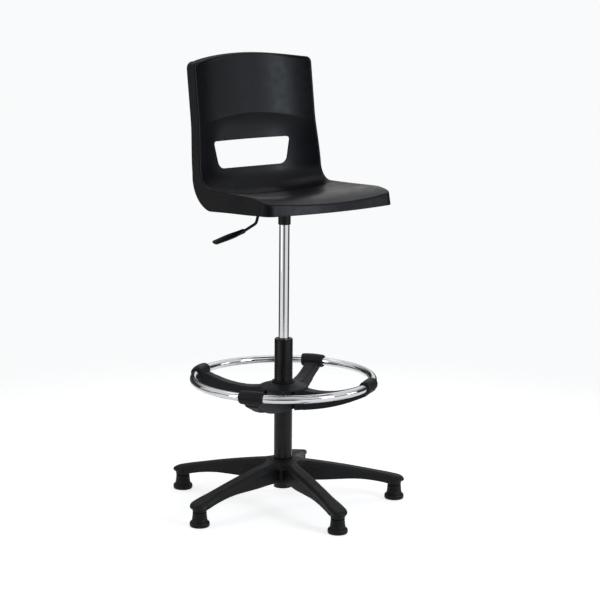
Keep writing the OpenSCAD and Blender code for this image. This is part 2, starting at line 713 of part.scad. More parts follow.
// A sector of the ring's clamp, above or below the ring's middle plane.
module clamp_half(above) {
    rotate([0, 0, -clamp_half_angle]) rotate_extrude(angle = 2 * clamp_half_angle)
        translate([ring_r, ring_z]) difference() {
            circle(r = clamp_r);
            circle(r = ring_half_t);
            translate([-30, above ? -60 : 0]) square([60, 60]);
        }
}
clamp_screw_r = 1.75;
clamp_head_r = 3.2;
clamp_head_h = 2.5;
clamp_seat_z = ring_z - 8;
clamp_screw_l = 16;
screw_off = (clamp_r + ring_half_t) / 2;
module at_clamp_screws() {
    for (off = [-screw_off, screw_off]) translate([ring_r + off, 0, clamp_seat_z]) children();
}
module at_spoke(k) {
    rotate([0, 0, ring_angle + k * 360 / SPOKES]) children();
}
hub_groove_r0 = 34;
hub_groove_r1 = 41;
hub_groove_h = 42;
module ring_hub() {
    rotate_extrude() polygon([
        [collet_r + run_gap, spider_z], [40, spider_z], [45, spider_z + 4], [45, spider_z + 50],
        [66, spider_top_z - 14], [68, spider_top_z - 11], [50, spider_top_z - 5], [37, spider_top_z],
        [collet_r + run_gap, spider_top_z]]);
}
module ring_spider() {
    color([0.16, 0.16, 0.17]) difference() {
        union() {
            ring_hub();
            for (k = [0:SPOKES - 1]) at_spoke(k) {
                spoke();
                clamp_half(false);
            }
        }
        translate([0, 0, spider_z - 5]) cylinder(r = collet_r + run_gap, h = 120);
        ring_part(hub_groove_r0, hub_groove_r1, spider_z - 1, spider_z + hub_groove_h);
        rotate_extrude() translate([ring_r, ring_z]) circle(r = ring_half_t);
        for (k = [0:SPOKES - 1]) at_spoke(k) at_clamp_screws() {
            cylinder(r = clamp_screw_r, h = 20);
            translate([0, 0, -60]) cylinder(r = clamp_head_r + 0.3, h = 60);
        }
    }
}
module clamp_cap(k) {
    color([0.16, 0.16, 0.17]) at_spoke(k) difference() {
        clamp_half(true);
        at_clamp_screws() cylinder(r = clamp_screw_r, h = clamp_screw_l + 0.5);
    }
}
module clamp_screws() {
    color([0.08, 0.08, 0.08]) for (k = [0:SPOKES - 1]) at_spoke(k) at_clamp_screws() {
        cylinder(r = clamp_screw_r, h = clamp_screw_l);
        translate([0, 0, -clamp_head_h]) cylinder(r = clamp_head_r, h = clamp_head_h);
    }
}
ring_wall = 1.5;
module foot_ring() {
    color([0.85, 0.86, 0.88]) rotate_extrude() translate([ring_r, ring_z]) difference() {
        circle(r = ring_half_t);
        circle(r = ring_half_t - ring_wall);
    }
}

// ---- Star base ----

hub_top_z = leg_top_z + 3;
hub_bottom_z = 62;
hub_tube_r = 30;
hub_skirt_z = 104;
neck_r = 19.5;
neck_z = glide_h + 1.5;
nose_reach = 28;
nose_r = 23;
nose_z = 51.5;
nose_round = 9;
leg_skin = 5;
cap_depth = 16;
leg_r0 = 24;
leg_r1 = base_r + nose_reach;
// Top, underside and half widths of a leg at distance r from the column axis. The leg is a broad cap
// on narrower walls; the caps run into each other at the hub with round fillets.
leg_half = leg_w / 2;
fillet_r = 22;
sector = 180 / LEGS;
fillet_at = (leg_half + fillet_r) / tan(sector);
function leg_high(r) = leg_top_z - 0.15 * (r - 36) - 0.0002 * pow(r - 36, 2);
function leg_low(r) = max(neck_z, 65.7 - 0.0013 * pow(max(0, r - 175), 2));
function wall_half_w(r) = leg_half - 1 - 4 * (1 - smooth((r - 60) / 60));
function nose_half_w(r) =
    let (c = clamp01((r - leg_r1 + nose_r) / nose_r))
    mix(leg_half, nose_r, smooth((r - 250) / 60)) * sqrt(1 - c * c);
function cap_half_w(r) =
    let (d = max(0, fillet_at - r))
    d > fillet_r ? r * tan(sector)
    : min(r * tan(sector), nose_half_w(r) + fillet_r - sqrt(fillet_r * fillet_r - d * d));
function cap_high(r) = leg_high(r) - round_in(leg_r1 - r, nose_round);
function cap_low(r) = max(leg_high(r) - cap_depth, nose_z);
wall_steps = concat([for (r = [leg_r0:16:base_r - 16]) r], [base_r]);
cap_steps = concat([for (r = [leg_r0:4:60]) r], [for (r = [76:16:316]) r],
    [for (i = [0:4]) leg_r1 - nose_r + nose_r * sin(10 + 18 * i)]);
rib_t = 3;
rib_pitch = 48;
rib_n = 4;
module leg_hollow() {
    inside = [for (r = wall_steps) if (r > 50 && r < base_r - neck_r) r];
    difference() {
        bar(inside, [for (r = inside) 0], [for (r = inside) leg_high(r) - leg_skin],
            [for (r = inside) wall_half_w(r) - leg_skin]);
        for (i = [1:rib_n]) translate([50 + i * rib_pitch, -leg_w, 0]) cube([rib_t, 2 * leg_w, 200]);
        translate([0, -rib_t / 2, 0]) cube([base_r, rib_t, 200]);
    }
}
module leg() {
    difference() {
        union() {
            bar(wall_steps, [for (r = wall_steps) leg_low(r)], [for (r = wall_steps) leg_high(r) - 1],
                [for (r = wall_steps) wall_half_w(r)]);
            bar(cap_steps, [for (r = cap_steps) cap_low(r)], [for (r = cap_steps) cap_high(r)],
                [for (r = cap_steps) cap_half_w(r)]);
        }
        leg_hollow();
    }
    translate([base_r, 0, neck_z]) cylinder(r = neck_r, h = 14);
}
module at_leg(k) {
    rotate([0, 0, base_angle + k * 360 / LEGS]) children();
}

hub_ring_wall = 2.5;
hub_ring_h = 12;
hub_ring_z = hub_bottom_z + 1;
stem_r = 5.5;
stem_top_z = 61;
module star_base() {
    color([0.1, 0.1, 0.1]) difference() {
        union() {
            for (k = [0:LEGS - 1]) at_leg(k) leg();
            translate([0, 0, hub_bottom_z]) cylinder(r = hub_tube_r, h = hub_top_z - hub_bottom_z - 10);
            rotate_extrude() polygon([
                [0, hub_skirt_z], [hub_r, hub_skirt_z], [hub_r, leg_top_z - 6], [hub_r - 4, leg_top_z],
                [hub_r - 8, hub_top_z], [0, hub_top_z]]);
        }
        translate([0, 0, hub_bottom_z - 1]) cylinder(r = column_r, h = 100);
        translate([0, 0, hub_bottom_z - 1])
            cylinder(r = column_r + hub_ring_wall, h = hub_ring_z + hub_ring_h - hub_bottom_z + 1);
        for (k = [0:LEGS - 1]) at_leg(k)
            translate([base_r, 0, neck_z - 1]) cylinder(r = stem_r, h = stem_top_z - neck_z + 1);
    }
}
module hub_ring() {
    color([0.5, 0.5, 0.52])
        ring_part(column_r, column_r + hub_ring_wall, hub_ring_z, hub_ring_z + hub_ring_h);
}

stem_z = 14;
stem_collar_r = 9;
module glide_stems() {
    color([0.7, 0.7, 0.72]) for (k = [0:LEGS - 1]) at_leg(k) translate([base_r, 0, 0]) {
        translate([0, 0, stem_z]) cylinder(r = stem_r, h = stem_top_z - stem_z);
        ring_part(stem_r, stem_collar_r, glide_h, neck_z);
    }
}
// A bell glide: flared foot, ribbed neck.
glide_neck_r = 19;
groove_n = 3;
module glide(k) {
    foot = glide_d / 2;
    color([0.08, 0.08, 0.08]) at_leg(k) translate([base_r, 0, 0]) rotate_extrude() polygon(concat(
        [[0, 0], [foot - 4, 0], [foot - 1.5, 1], [foot, 4], [foot, 11.5], [foot - 1.2, 14], [foot - 3.5, 15.5],
            [glide_neck_r + 2.6, 17.5]],
        [for (i = [0:groove_n - 1], e = [[0, 0], [1.5, 0], [2, -0.7], [3, -0.7], [3.5, 0]])
            [glide_neck_r + 1.2 - 0.4 * i + e[1], 23 + 4.5 * i + e[0]]],
        [[glide_neck_r, glide_h - 1.5], [glide_neck_r - 1.5, glide_h], [stem_r, glide_h],
            [stem_r, stem_z], [0, stem_z]]));
}

seat_shell();
seat_plate();
taper_socket();
plate_screws();
lever_bracket();
lever_pivot_pin();
lever_crank();
lever_rod();
lever_grip();
release_pin();
valve_housing();
gas_cylinder();
cylinder_gland();
rod_seal();
piston_head();
piston_seal();
piston_rod();
bump_stop();
bearing_upper_race();
bearing_cage();
bearing_balls();
rod_clip();
bearing_lower_race();
column_end_plate();
column_tube();
guide_bush();
ring_collet();
ring_spider();
foot_ring();
clamp_cap(0);  // clamp_cap_1
clamp_cap(1);  // clamp_cap_2
clamp_cap(2);  // clamp_cap_3
clamp_cap(3);  // clamp_cap_4
clamp_screws();
star_base();
hub_ring();
glide_stems();
glide(0);  // glide_1
glide(1);  // glide_2
glide(2);  // glide_3
glide(3);  // glide_4
glide(4);  // glide_5
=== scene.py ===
"""Looks of the drafting chair: fine meshes, materials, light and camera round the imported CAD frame.

Lengths of the hand-built pieces are in millimetres, as the CAD draws them, and are turned into metres
when a mesh is made. The row frame has its origin on the floor under the column; the chair faces -Y.
"""

import json
import math

import bmesh
import bpy
import numpy as np
from mathutils import Matrix, Vector


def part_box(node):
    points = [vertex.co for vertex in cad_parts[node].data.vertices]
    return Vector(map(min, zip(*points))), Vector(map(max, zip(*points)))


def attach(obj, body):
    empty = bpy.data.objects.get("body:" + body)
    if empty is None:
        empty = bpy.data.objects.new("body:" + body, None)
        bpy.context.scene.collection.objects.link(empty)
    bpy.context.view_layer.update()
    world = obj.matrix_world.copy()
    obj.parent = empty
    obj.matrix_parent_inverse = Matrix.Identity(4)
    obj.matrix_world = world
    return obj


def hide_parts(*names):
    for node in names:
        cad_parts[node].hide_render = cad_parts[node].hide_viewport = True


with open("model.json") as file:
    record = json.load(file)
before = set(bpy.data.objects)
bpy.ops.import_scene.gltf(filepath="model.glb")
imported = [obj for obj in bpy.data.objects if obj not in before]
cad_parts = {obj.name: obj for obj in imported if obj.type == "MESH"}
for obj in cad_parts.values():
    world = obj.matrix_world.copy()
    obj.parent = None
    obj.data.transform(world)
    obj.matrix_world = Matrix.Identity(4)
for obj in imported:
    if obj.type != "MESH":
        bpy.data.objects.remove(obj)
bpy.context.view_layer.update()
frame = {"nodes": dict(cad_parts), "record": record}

MM = 0.001


# ---- Node boxes, in millimetres ----


def low(node, axis):
    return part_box(node)[0][axis] / MM


def high(node, axis):
    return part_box(node)[1][axis] / MM


def middle(node):
    a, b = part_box(node)
    return ((a + b) / 2) / MM


# ---- Materials ----


class Graph:
    """A node material built up from its shader."""

    def __init__(self, name):
        self.material = bpy.data.materials.new(name)
        self.material.use_nodes = True
        self.nodes = self.material.node_tree.nodes
        self.links = self.material.node_tree.links
        self.shader = self.nodes["Principled BSDF"]
        coordinates = self.nodes.new("ShaderNodeTexCoord")
        self.place = coordinates.outputs["Object"]

    def noise(self, scale, detail=2.0, roughness=0.5):
        noise = self.nodes.new("ShaderNodeTexNoise")
        noise.inputs["Scale"].default_value = scale
        noise.inputs["Detail"].default_value = detail
        noise.inputs["Roughness"].default_value = roughness
        self.links.new(self.place, noise.inputs["Vector"])
        return noise.outputs["Fac"]

    def spread(self, value, to_low, to_high, from_low=0.3, from_high=0.7):
        rescale = self.nodes.new("ShaderNodeMapRange")
        rescale.inputs["From Min"].default_value = from_low
        rescale.inputs["From Max"].default_value = from_high
        rescale.inputs["To Min"].default_value = to_low
        rescale.inputs["To Max"].default_value = to_high
        self.links.new(value, rescale.inputs["Value"])
        return rescale.outputs["Result"]

    def blend(self, factor, a, b):
        """Colour a where factor is 0 and b where it is 1; either may be a socket."""
        mixer = self.nodes.new("ShaderNodeMix")
        mixer.data_type = "RGBA"
        self.links.new(factor, mixer.inputs["Factor"])
        for name, colour in (("A", a), ("B", b)):
            socket = [s for s in mixer.inputs if s.name == name and s.type == "RGBA"][0]
            if isinstance(colour, bpy.types.NodeSocket):
                self.links.new(colour, socket)
            else:
                socket.default_value = (*colour, 1)
        return [s for s in mixer.outputs if s.type == "RGBA"][0]

    def bump(self, height, depth, below=None):
        bump = self.nodes.new("ShaderNodeBump")
        bump.inputs["Distance"].default_value = depth
        self.links.new(height, bump.inputs["Height"])
        if below is not None:
            self.links.new(below, bump.inputs["Normal"])
        return bump.outputs["Normal"]

    def set(self, name, value):
        socket = self.shader.inputs[name]
        if isinstance(value, bpy.types.NodeSocket):
            self.links.new(value, socket)
        else:
            socket.default_value = value


SPECULAR = 0.2


def moulded(name, colour, worn, roughness, grain, grain_depth):
    """Injection-moulded plastic: a spark-eroded grain, faint cloudiness and polish, paler convex edges."""
    g = Graph(name)
    cloud = g.spread(g.noise(14, detail=3), 0.0, 0.35)
    lighter = tuple(c * 1.35 for c in colour)
    body = g.blend(cloud, colour, lighter)
    geometry = g.nodes.new("ShaderNodeNewGeometry")
    edge = g.spread(geometry.outputs["Pointiness"], 0.0, 1.0, 0.53, 0.62)
    g.set("Base Color", g.blend(edge, body, worn))
    g.set("Roughness", g.spread(g.noise(45, detail=4), roughness - 0.05, roughness + 0.05))
    g.set("Specular IOR Level", SPECULAR)
    peel = g.bump(g.noise(110, detail=1), 0.00005)
    g.set("Normal", g.bump(g.noise(grain, detail=3, roughness=0.6), grain_depth, below=peel))
    return g.material


def powder_coated(name, colour, roughness):
    """Powder coat: orange peel a few millimetres across and a little dust in the gloss."""
    g = Graph(name)
    dust = g.spread(g.noise(30, detail=5), 0.0, 0.3, 0.4, 0.8)
    g.set("Base Color", g.blend(dust, colour, tuple(c * 2 for c in colour)))
    g.set("Roughness", g.spread(g.noise(60, detail=3), roughness - 0.05, roughness + 0.07))
    g.set("Specular IOR Level", SPECULAR)
    g.set("Coat Weight", 0.12)
    g.set("Coat Roughness", 0.2)
    g.set("Normal", g.bump(g.noise(420, detail=2), 0.00006))
    return g.material


def metal(name, colour, roughness, brush, brush_depth):
    """Bare or plated metal: brushed or polished, with smears that change how sharply it reflects."""
    g = Graph(name)
    smear = g.noise(22, detail=6, roughness=0.6)
    g.set("Metallic", 1.0)
    g.set("Base Color", g.blend(g.spread(smear, 0.0, 0.4), colour, tuple(c * 0.86 for c in colour)))
    g.set("Roughness", g.spread(smear, roughness * 0.7, roughness * 1.5))
    g.set("Normal", g.bump(g.noise(brush, detail=3), brush_depth))
    return g.material


def rubber(name, colour):
    g = Graph(name)
    bloom = g.spread(g.noise(60, detail=4), 0.0, 0.5)
    g.set("Base Color", g.blend(bloom, colour, tuple(c * 1.7 for c in colour)))
    g.set("Roughness", g.spread(g.noise(90), 0.7, 0.85))
    g.set("Normal", g.bump(g.noise(700), 0.00008))
    return g.material


MATERIALS = {
    "shell_plastic": moulded(
        "shell_plastic", (0.0056, 0.0060, 0.0086), (0.023, 0.025, 0.032), 0.36, 1100, 0.00008
    ),
    "nylon_black": moulded(
        "nylon_black", (0.0120, 0.0120, 0.0125), (0.035, 0.035, 0.036), 0.52, 900, 0.00012
    ),
    "ring_nylon": moulded(
        "ring_nylon", (0.0190, 0.0190, 0.0230), (0.045, 0.045, 0.050), 0.50, 900, 0.00012
    ),
    "glide_plastic": moulded(
        "glide_plastic", (0.0110, 0.0110, 0.0115), (0.030, 0.030, 0.030), 0.50, 900, 0.00010
    ),
    "bush_plastic": moulded(
        "bush_plastic", (0.0130, 0.0130, 0.0140), (0.030, 0.030, 0.031), 0.38, 1200, 0.00004
    ),
    "grip_plastic": moulded(
        "grip_plastic", (0.0110, 0.0110, 0.0120), (0.030, 0.030, 0.031), 0.40, 1200, 0.00006
    ),
    "black_steel": powder_coated("black_steel", (0.010, 0.010, 0.011), 0.42),
    "tube_black": powder_coated("tube_black", (0.006, 0.006, 0.007), 0.30),
    "chrome": metal("chrome", (0.78, 0.79, 0.80), 0.06, 60, 0.00001),
    "bright_steel": metal("bright_steel", (0.56, 0.56, 0.57), 0.28, 500, 0.00003),
    "brass": metal("brass", (0.52, 0.38, 0.17), 0.30, 500, 0.00003),
    "rubber": rubber("rubber", (0.018, 0.018, 0.018)),
}


# ---- Meshes ----


WELD_GAP = 1e-6  # metres


def weld(mesh):
    bm = bmesh.new()
    bm.from_mesh(mesh)
    bmesh.ops.remove_doubles(bm, verts=bm.verts, dist=WELD_GAP)
    bmesh.ops.recalc_face_normals(bm, faces=bm.faces)
    bm.to_mesh(mesh)
    bm.free()


def dress(obj, body, slot, nodes=(), sharp_deg=35):
    """Finishes a piece: smooth shading but for its sharp edges, a material, and its place in the frame."""
    obj.data.shade_smooth()
    obj.data.set_sharp_from_angle(angle=math.radians(sharp_deg))
    obj.data.materials.clear()
    obj.data.materials.append(MATERIALS[slot])
    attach(obj, body)
    if nodes:
        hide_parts(*nodes)
    return obj


def new_object(name, points, faces):
    """A mesh object from points in millimetres."""
    mesh = bpy.data.meshes.new(name)
    places = (np.asarray(points, float) * MM).tolist()
    mesh.from_pydata(places, [], [list(map(int, f)) for f in faces])
    weld(mesh)
    obj = bpy.data.objects.new(name, mesh)
    bpy.context.scene.collection.objects.link(obj)
    return obj


def copy_of(node, name):
    """A new object with a CAD node's mesh, without its custom normals."""
    source = frame["nodes"][node].data
    points = [v.co / MM for v in source.vertices]
    return new_object(name, points, [p.vertices for p in source.polygons])


def evaluated(obj):
    """Applies an object's modifiers to its mesh."""
    bpy.context.view_layer.update()
    graph = bpy.context.evaluated_depsgraph_get()
    mesh = bpy.data.meshes.new_from_object(obj.evaluated_get(graph))
    obj.modifiers.clear()
    obj.data = mesh
    return obj


BEVEL_SEGMENTS = 3


def bevel_sharp(obj, width, angle_deg=30):
    """Rounds every edge sharper than the angle, in millimetres."""
    bm = bmesh.new()
    bm.from_mesh(obj.data)
    bmesh.ops.dissolve_limit(
        bm, angle_limit=math.radians(0.5), verts=bm.verts, edges=bm.edges, delimit={"NORMAL"}
    )
    limit = math.radians(angle_deg)
    sharp = [e for e in bm.edges if len(e.link_faces) == 2 and e.calc_face_angle(0) > limit]
    bmesh.ops.bevel(
        bm, geom=sharp, offset=width * MM, segments=BEVEL_SEGMENTS, profile=0.5,
        affect="EDGES", clamp_overlap=True,
    )
    bm.to_mesh(obj.data)
    bm.free()
    return obj


def softened(node, body, slot, width):
    """A CAD piece with its sharp edges rounded."""
    obj = bevel_sharp(copy_of(node, node + "_fine"), width)
    return dress(obj, body, slot, [node])


def arc(a, b, steps):
    return [a + (b - a) * i / steps for i in range(steps + 1)]


def rounded(profile, radius, steps=4):
    """A closed outline with each corner off the axis replaced by an arc of the radius, or less."""
    out = []
    n = len(profile)
    for i, corner in enumerate(profile):
        p = np.array(corner[:2], float)
        r = corner[2] if len(corner) > 2 else radius
        a = np.array(profile[i - 1][:2], float) - p
        b = np.array(profile[(i + 1) % n][:2], float) - p
        la, lb = np.linalg.norm(a), np.linalg.norm(b)
        turn = math.pi - math.acos(max(-1, min(1, float(a @ b) / (la * lb))))
        if r <= 0 or p[0] < 1e-6 or turn < 0.03:
            out.append(p)
            continue
        reach = min(r * math.tan(turn / 2), 0.48 * la, 0.48 * lb)
        start, end = p + a / la * reach, p + b / lb * reach
        for k in range(steps + 1):
            t = k / steps
            out.append((1 - t) ** 2 * start + 2 * t * (1 - t) * p + t * t * end)
    return out


def lathe(name, profile, centre=(0, 0), sides=96, radius=0.6):
    """Turns a closed outline of (radius, z) points round a vertical axis.

    A third value of a point is the radius of its corner.
    """
    outline = rounded(profile, radius)
    points, rings = [], []
    for r, z in outline:
        first = len(points)
        if r < 1e-6:
            points.append((centre[0], centre[1], z))
            rings.append([first] * sides)
            continue
        for k in range(sides):
            a = 2 * math.pi * k / sides
            points.append((centre[0] + r * math.cos(a), centre[1] + r * math.sin(a), z))
        rings.append(list(range(first, first + sides)))
    faces = []
    for i, ring in enumerate(rings):
        following = rings[(i + 1) % len(rings)]
        for k in range(sides):
            m = (k + 1) % sides
            corners = [ring[k], ring[m], following[m], following[k]]
            kept = [c for j, c in enumerate(corners) if c not in corners[:j]]
            if len(kept) > 2:
                faces.append(kept)
    return new_object(name, points, faces)


def tube_faces(rings, sides, closed=False):
    """Faces of a skin over rings of points, with flat ends unless it is closed."""
    faces = []
    count = rings if closed else rings - 1
    for i in range(count):
        a, b = i * sides, ((i + 1) % rings) * sides
        for k in range(sides):
            m = (k + 1) % sides
            faces.append([a + k, a + m, b + m, b + k])
    if not closed:
        faces.append(list(range(sides))[::-1])
        faces.append([(rings - 1) * sides + k for k in range(sides)])
    return faces


# ---- Seat shell: the CAD's formulas on a finer grid, in millimetres ----


def clamp01(x):
    return np.clip(x, 0.0, 1.0)


def smooth(x):
    c = clamp01(x)
    return c * c * (3 - 2 * c)


def mix(a, b, k):
    return a + (b - a) * k


def round_in(x, r):
    c = clamp01((r - x) / r)
    return r - r * np.sqrt(1 - c * c)


def turned(a):
    return np.stack([np.cos(a), np.sin(a)], -1)


RECLINE = math.radians(8)
RISE = math.radians(2.3)
TOP = np.array([149.0, 1210.0])
SEAT = np.array([0.0, 881.0])
LAP_R, ROLL_R, ROLL_TURN = 50.0, 215.0, math.radians(20.5)
FRONT_Y = 130.0
BACK_DIR = np.array([-math.sin(RECLINE), -math.cos(RECLINE)])
SEAT_DIR = np.array([-math.cos(RISE), math.sin(RISE)])
CORNER_K = float(np.linalg.det([SEAT - TOP, SEAT_DIR]) / np.linalg.det([BACK_DIR, SEAT_DIR]))
CORNER = TOP + CORNER_K * BACK_DIR
LAP_TURN = math.pi / 2 - RECLINE + RISE
LAP_TANGENT = LAP_R * math.tan(LAP_TURN / 2)
V_LAP = CORNER_K - LAP_TANGENT
V_SEAT = V_LAP + LAP_R * LAP_TURN
SEAT_LEN = (CORNER[0] + FRONT_Y) / math.cos(RISE) - LAP_TANGENT
V_ROLL = V_SEAT + SEAT_LEN
V_END = V_ROLL + ROLL_R * ROLL_TURN
BACK_ANGLE = -math.pi / 2 - RECLINE
SEAT_ANGLE = -math.pi - RISE


def edge_angle(v):
    """Direction of the side edge in the side view, down the back and forward along the seat."""
    roll = SEAT_ANGLE + (np.minimum(v, V_END) - V_ROLL) / ROLL_R
    return np.select(
        [v <= V_LAP, v <= V_SEAT, v <= V_ROLL],
        [BACK_ANGLE + 0 * v, BACK_ANGLE - (v - V_LAP) / LAP_R, SEAT_ANGLE + 0 * v],
        roll,
    )


LAP_START = TOP + V_LAP * BACK_DIR
LAP_CENTRE = LAP_START + LAP_R * turned(BACK_ANGLE - math.pi / 2)
SEAT_START = LAP_CENTRE + LAP_R * turned(SEAT_ANGLE + math.pi / 2)
ROLL_START = SEAT_START + SEAT_LEN * SEAT_DIR
ROLL_CENTRE = ROLL_START + ROLL_R * turned(SEAT_ANGLE + math.pi / 2)


def edge_pt(v):
    """The side edge as (y, z) at distance v down from the top corner."""
    v = np.asarray(v, float)
    angle = edge_angle(v)
    w = v[..., None]
    back = TOP + w * BACK_DIR
    lap = LAP_CENTRE + LAP_R * turned(angle + math.pi / 2)
    seat = SEAT_START + (w - V_SEAT) * SEAT_DIR
    beyond = np.maximum(0, w - V_END) * turned(angle)
    roll = ROLL_CENTRE + ROLL_R * turned(angle - math.pi / 2) + beyond
    return np.where(w <= V_LAP, back, np.where(w <= V_SEAT, lap, np.where(w <= V_ROLL, seat, roll)))


def away(v):
    """Away from the sitter: backwards on the back, downwards under the seat."""
    return turned(edge_angle(np.minimum(v, V_ROLL)) + math.pi / 2)


TOP_CORNER_R, FRONT_CORNER_R = 12.0, 26.0
BACK_W, LAP_W, SEAT_W, FRONT_W = 188.0, 195.5, 194.0, 203.0


def half_w(v):
    back = mix(BACK_W, LAP_W, smooth(2 * v / V_LAP - 1))
    lap = mix(LAP_W, SEAT_W, (v - V_LAP) / (V_SEAT - V_LAP))
    seat = mix(SEAT_W, FRONT_W, smooth((v - V_SEAT - 60) / 150))
    straight = np.where(v < V_LAP, back, np.where(v < V_SEAT, lap, seat))
    return straight - round_in(v, TOP_CORNER_R) - round_in(V_END - v, FRONT_CORNER_R)


CREASE_V, CREASE_ARCH, CREASE_FADE, CREASE_SOFT = 147.0, 23.0, 64.0, 1.2
DISH_BACK, DISH_LUMBAR, DISH_SEAT, DISH_FRONT = 35.0, 48.0, 14.0, 1.0


def dish(s, v):
    """Depth of the hollow. Below an arched line the back is hollowed further."""
    past = v - (CREASE_V + CREASE_ARCH * s * s)
    past = (past + np.sqrt(past * past + CREASE_SOFT**2)) / 2
    lumbar = mix(DISH_BACK, DISH_LUMBAR, 1 - (1 - clamp01(past / CREASE_FADE)) ** 2)
    lap = mix(DISH_LUMBAR, DISH_SEAT, smooth((v - V_LAP) / (V_SEAT - V_LAP + 40)))
    seat = mix(DISH_SEAT, DISH_FRONT, smooth((v - V_SEAT - 60) / (V_END - V_SEAT - 60)))
    return np.where(v < V_LAP, lumbar, np.where(v < V_SEAT + 40, lap, seat))


HOLLOW_POWER = 3.0
HOLE_V, HOLE_H = 213.0, 72.0
HOLE_TOP_W, HOLE_BOTTOM_W, HOLE_TOP_R, HOLE_BOTTOM_R = 126.0, 111.0, 9.0, 17.0
TOP_ARCH, FRONT_BOW = 20.0, 21.0


def shell_pt(s, v):
    """The sitter's side of the shell, at share s of the half width."""
    b = v - TOP_ARCH * (1 - s * s) * clamp01(1 - v / (HOLE_V + 40))
    b = b + FRONT_BOW * (1 - s * s) * smooth((v - V_SEAT) / (V_END - V_SEAT))
    depth = dish(s, v) * (1 - np.abs(s) ** HOLLOW_POWER)
    p = edge_pt(b) + depth[..., None] * away(v)
    return np.stack([s * half_w(v), p[..., 0], p[..., 1]], -1)


def tilt(s, v):
    """Angle at which the hollow's surface climbs towards the nearer side edge."""
    return np.arctan(dish(s, v) * HOLLOW_POWER * np.abs(s) ** (HOLLOW_POWER - 1) / half_w(v))


def hole_half_w(v):
    k = clamp01((v - HOLE_V) / HOLE_H)
    return (
        mix(HOLE_TOP_W, HOLE_BOTTOM_W, k)
        - round_in(v - HOLE_V, HOLE_TOP_R)
        - round_in(HOLE_V + HOLE_H - v, HOLE_BOTTOM_R)
    )


def shell_rows():
    """Row positions down the shell: close together at its corners, the crease and the hole's corners."""
    quarter = [1 - math.cos(math.pi / 2 * i / 6) for i in range(7)]
    rows = [TOP_CORNER_R * q for q in quarter]
    rows += arc(TOP_CORNER_R, CREASE_V - 6, 34)[1:]
    rows += arc(CREASE_V - 6, CREASE_V + 8, 14)[1:]
    rows += arc(CREASE_V + 8, HOLE_V, 16)[1:]
    rows += [HOLE_V + HOLE_TOP_R * q for q in quarter[1:]]
    rows += arc(HOLE_V + HOLE_TOP_R, HOLE_V + HOLE_H - HOLE_BOTTOM_R, 12)[1:]
    rows += [HOLE_V + HOLE_H - HOLE_BOTTOM_R * q for q in quarter[-2::-1]]
    rows += arc(HOLE_V + HOLE_H, V_SEAT, 34)[1:]
    rows += arc(V_SEAT, V_END - FRONT_CORNER_R, 44)[1:]
    rows += [V_END - FRONT_CORNER_R * q for q in quarter[-2::-1]]
    return np.array(rows)


def warped(row, s):
    """Bends the rows so that one of them lies along the crease."""
    up = clamp01(row / CREASE_V)
    down = clamp01((HOLE_V - row) / (HOLE_V - CREASE_V))
    return row + CREASE_ARCH * s * s * np.minimum(up, down)


HOLE_COLS, HALF_COLS = 30, 48
WALL, BEND_R, DRAFT = 4.5, 4.4, 0.12
RIM_BACK, RIM_TOP, RIM_SEAT, RIM_SLOPE = 31.0, 22.0, 54.0, 0.08
BEND_STEPS, WALL_STEPS = 8, 5


def shell_grid():
    rows = shell_rows()
    hole = hole_half_w(np.clip(rows, HOLE_V, HOLE_V + HOLE_H)) / half_w(rows)
    share = np.minimum(0.72, hole)[:, None]
    c = np.abs(np.arange(-HALF_COLS, HALF_COLS + 1))[None, :]
    side = np.sign(np.arange(-HALF_COLS, HALF_COLS + 1))[None, :]
    outer = mix(share, 1.0, (c - HOLE_COLS) / (HALF_COLS - HOLE_COLS))
    s = side * np.where(c <= HOLE_COLS, share * c / HOLE_COLS, outer)
    v = warped(rows[:, None] + 0 * s, s)
    return rows, s, v


def rim_depth(s, v, z):
    seat = z - (edge_pt(V_SEAT)[1] - RIM_SEAT) - RIM_SLOPE * (v - V_SEAT)
    lap = mix(RIM_BACK, RIM_SEAT, (v - V_LAP) / (V_SEAT - V_LAP))
    back = mix(RIM_TOP, RIM_BACK, s * s) if v <= 0 else RIM_BACK
    return back if v < V_LAP else lap if v < V_SEAT else seat


def rim_points(s, v, side):
    """Both skins of the rim from one point of the border: round the bend and down the wall."""
    p = shell_pt(np.array(s), np.array(v))
    top = float(clamp01((TOP_CORNER_R - v) / TOP_CORNER_R))
    front = float(clamp01((v - V_END + FRONT_CORNER_R) / FRONT_CORNER_R))
    along = turned(edge_angle(np.array(v)))
    a = 1.0 if side == 0 else max(top, front)
    sign = 1 if front > 0 else -1
    out = np.array([side * math.sqrt(1 - a * a), sign * a * along[0], sign * a * along[1]])
    n = np.array([0, *away(np.array(v))])
    climb = float(tilt(np.array(s), np.array(v))) * abs(side) * math.sqrt(1 - a * a)
    depth = max(BEND_R + 2, float(rim_depth(s, v, p[2]))) - BEND_R
    outer, inner = [], []
    turns = [(f, 0.0) for f in arc(-climb, math.pi / 2, BEND_STEPS)[1:]]
    turns += [(math.pi / 2, w) for w in arc(0.0, depth, WALL_STEPS)[1:]]
    for f, w in turns:
        at = p + out * (BEND_R * (math.sin(f) + math.sin(climb)) + DRAFT * w)
        at = at + n * (BEND_R * (math.cos(climb) - math.cos(f)) + w)
        outer.append(at)
        inner.append(at - out * WALL * math.sin(f) + n * WALL * math.cos(f))
    return outer, inner


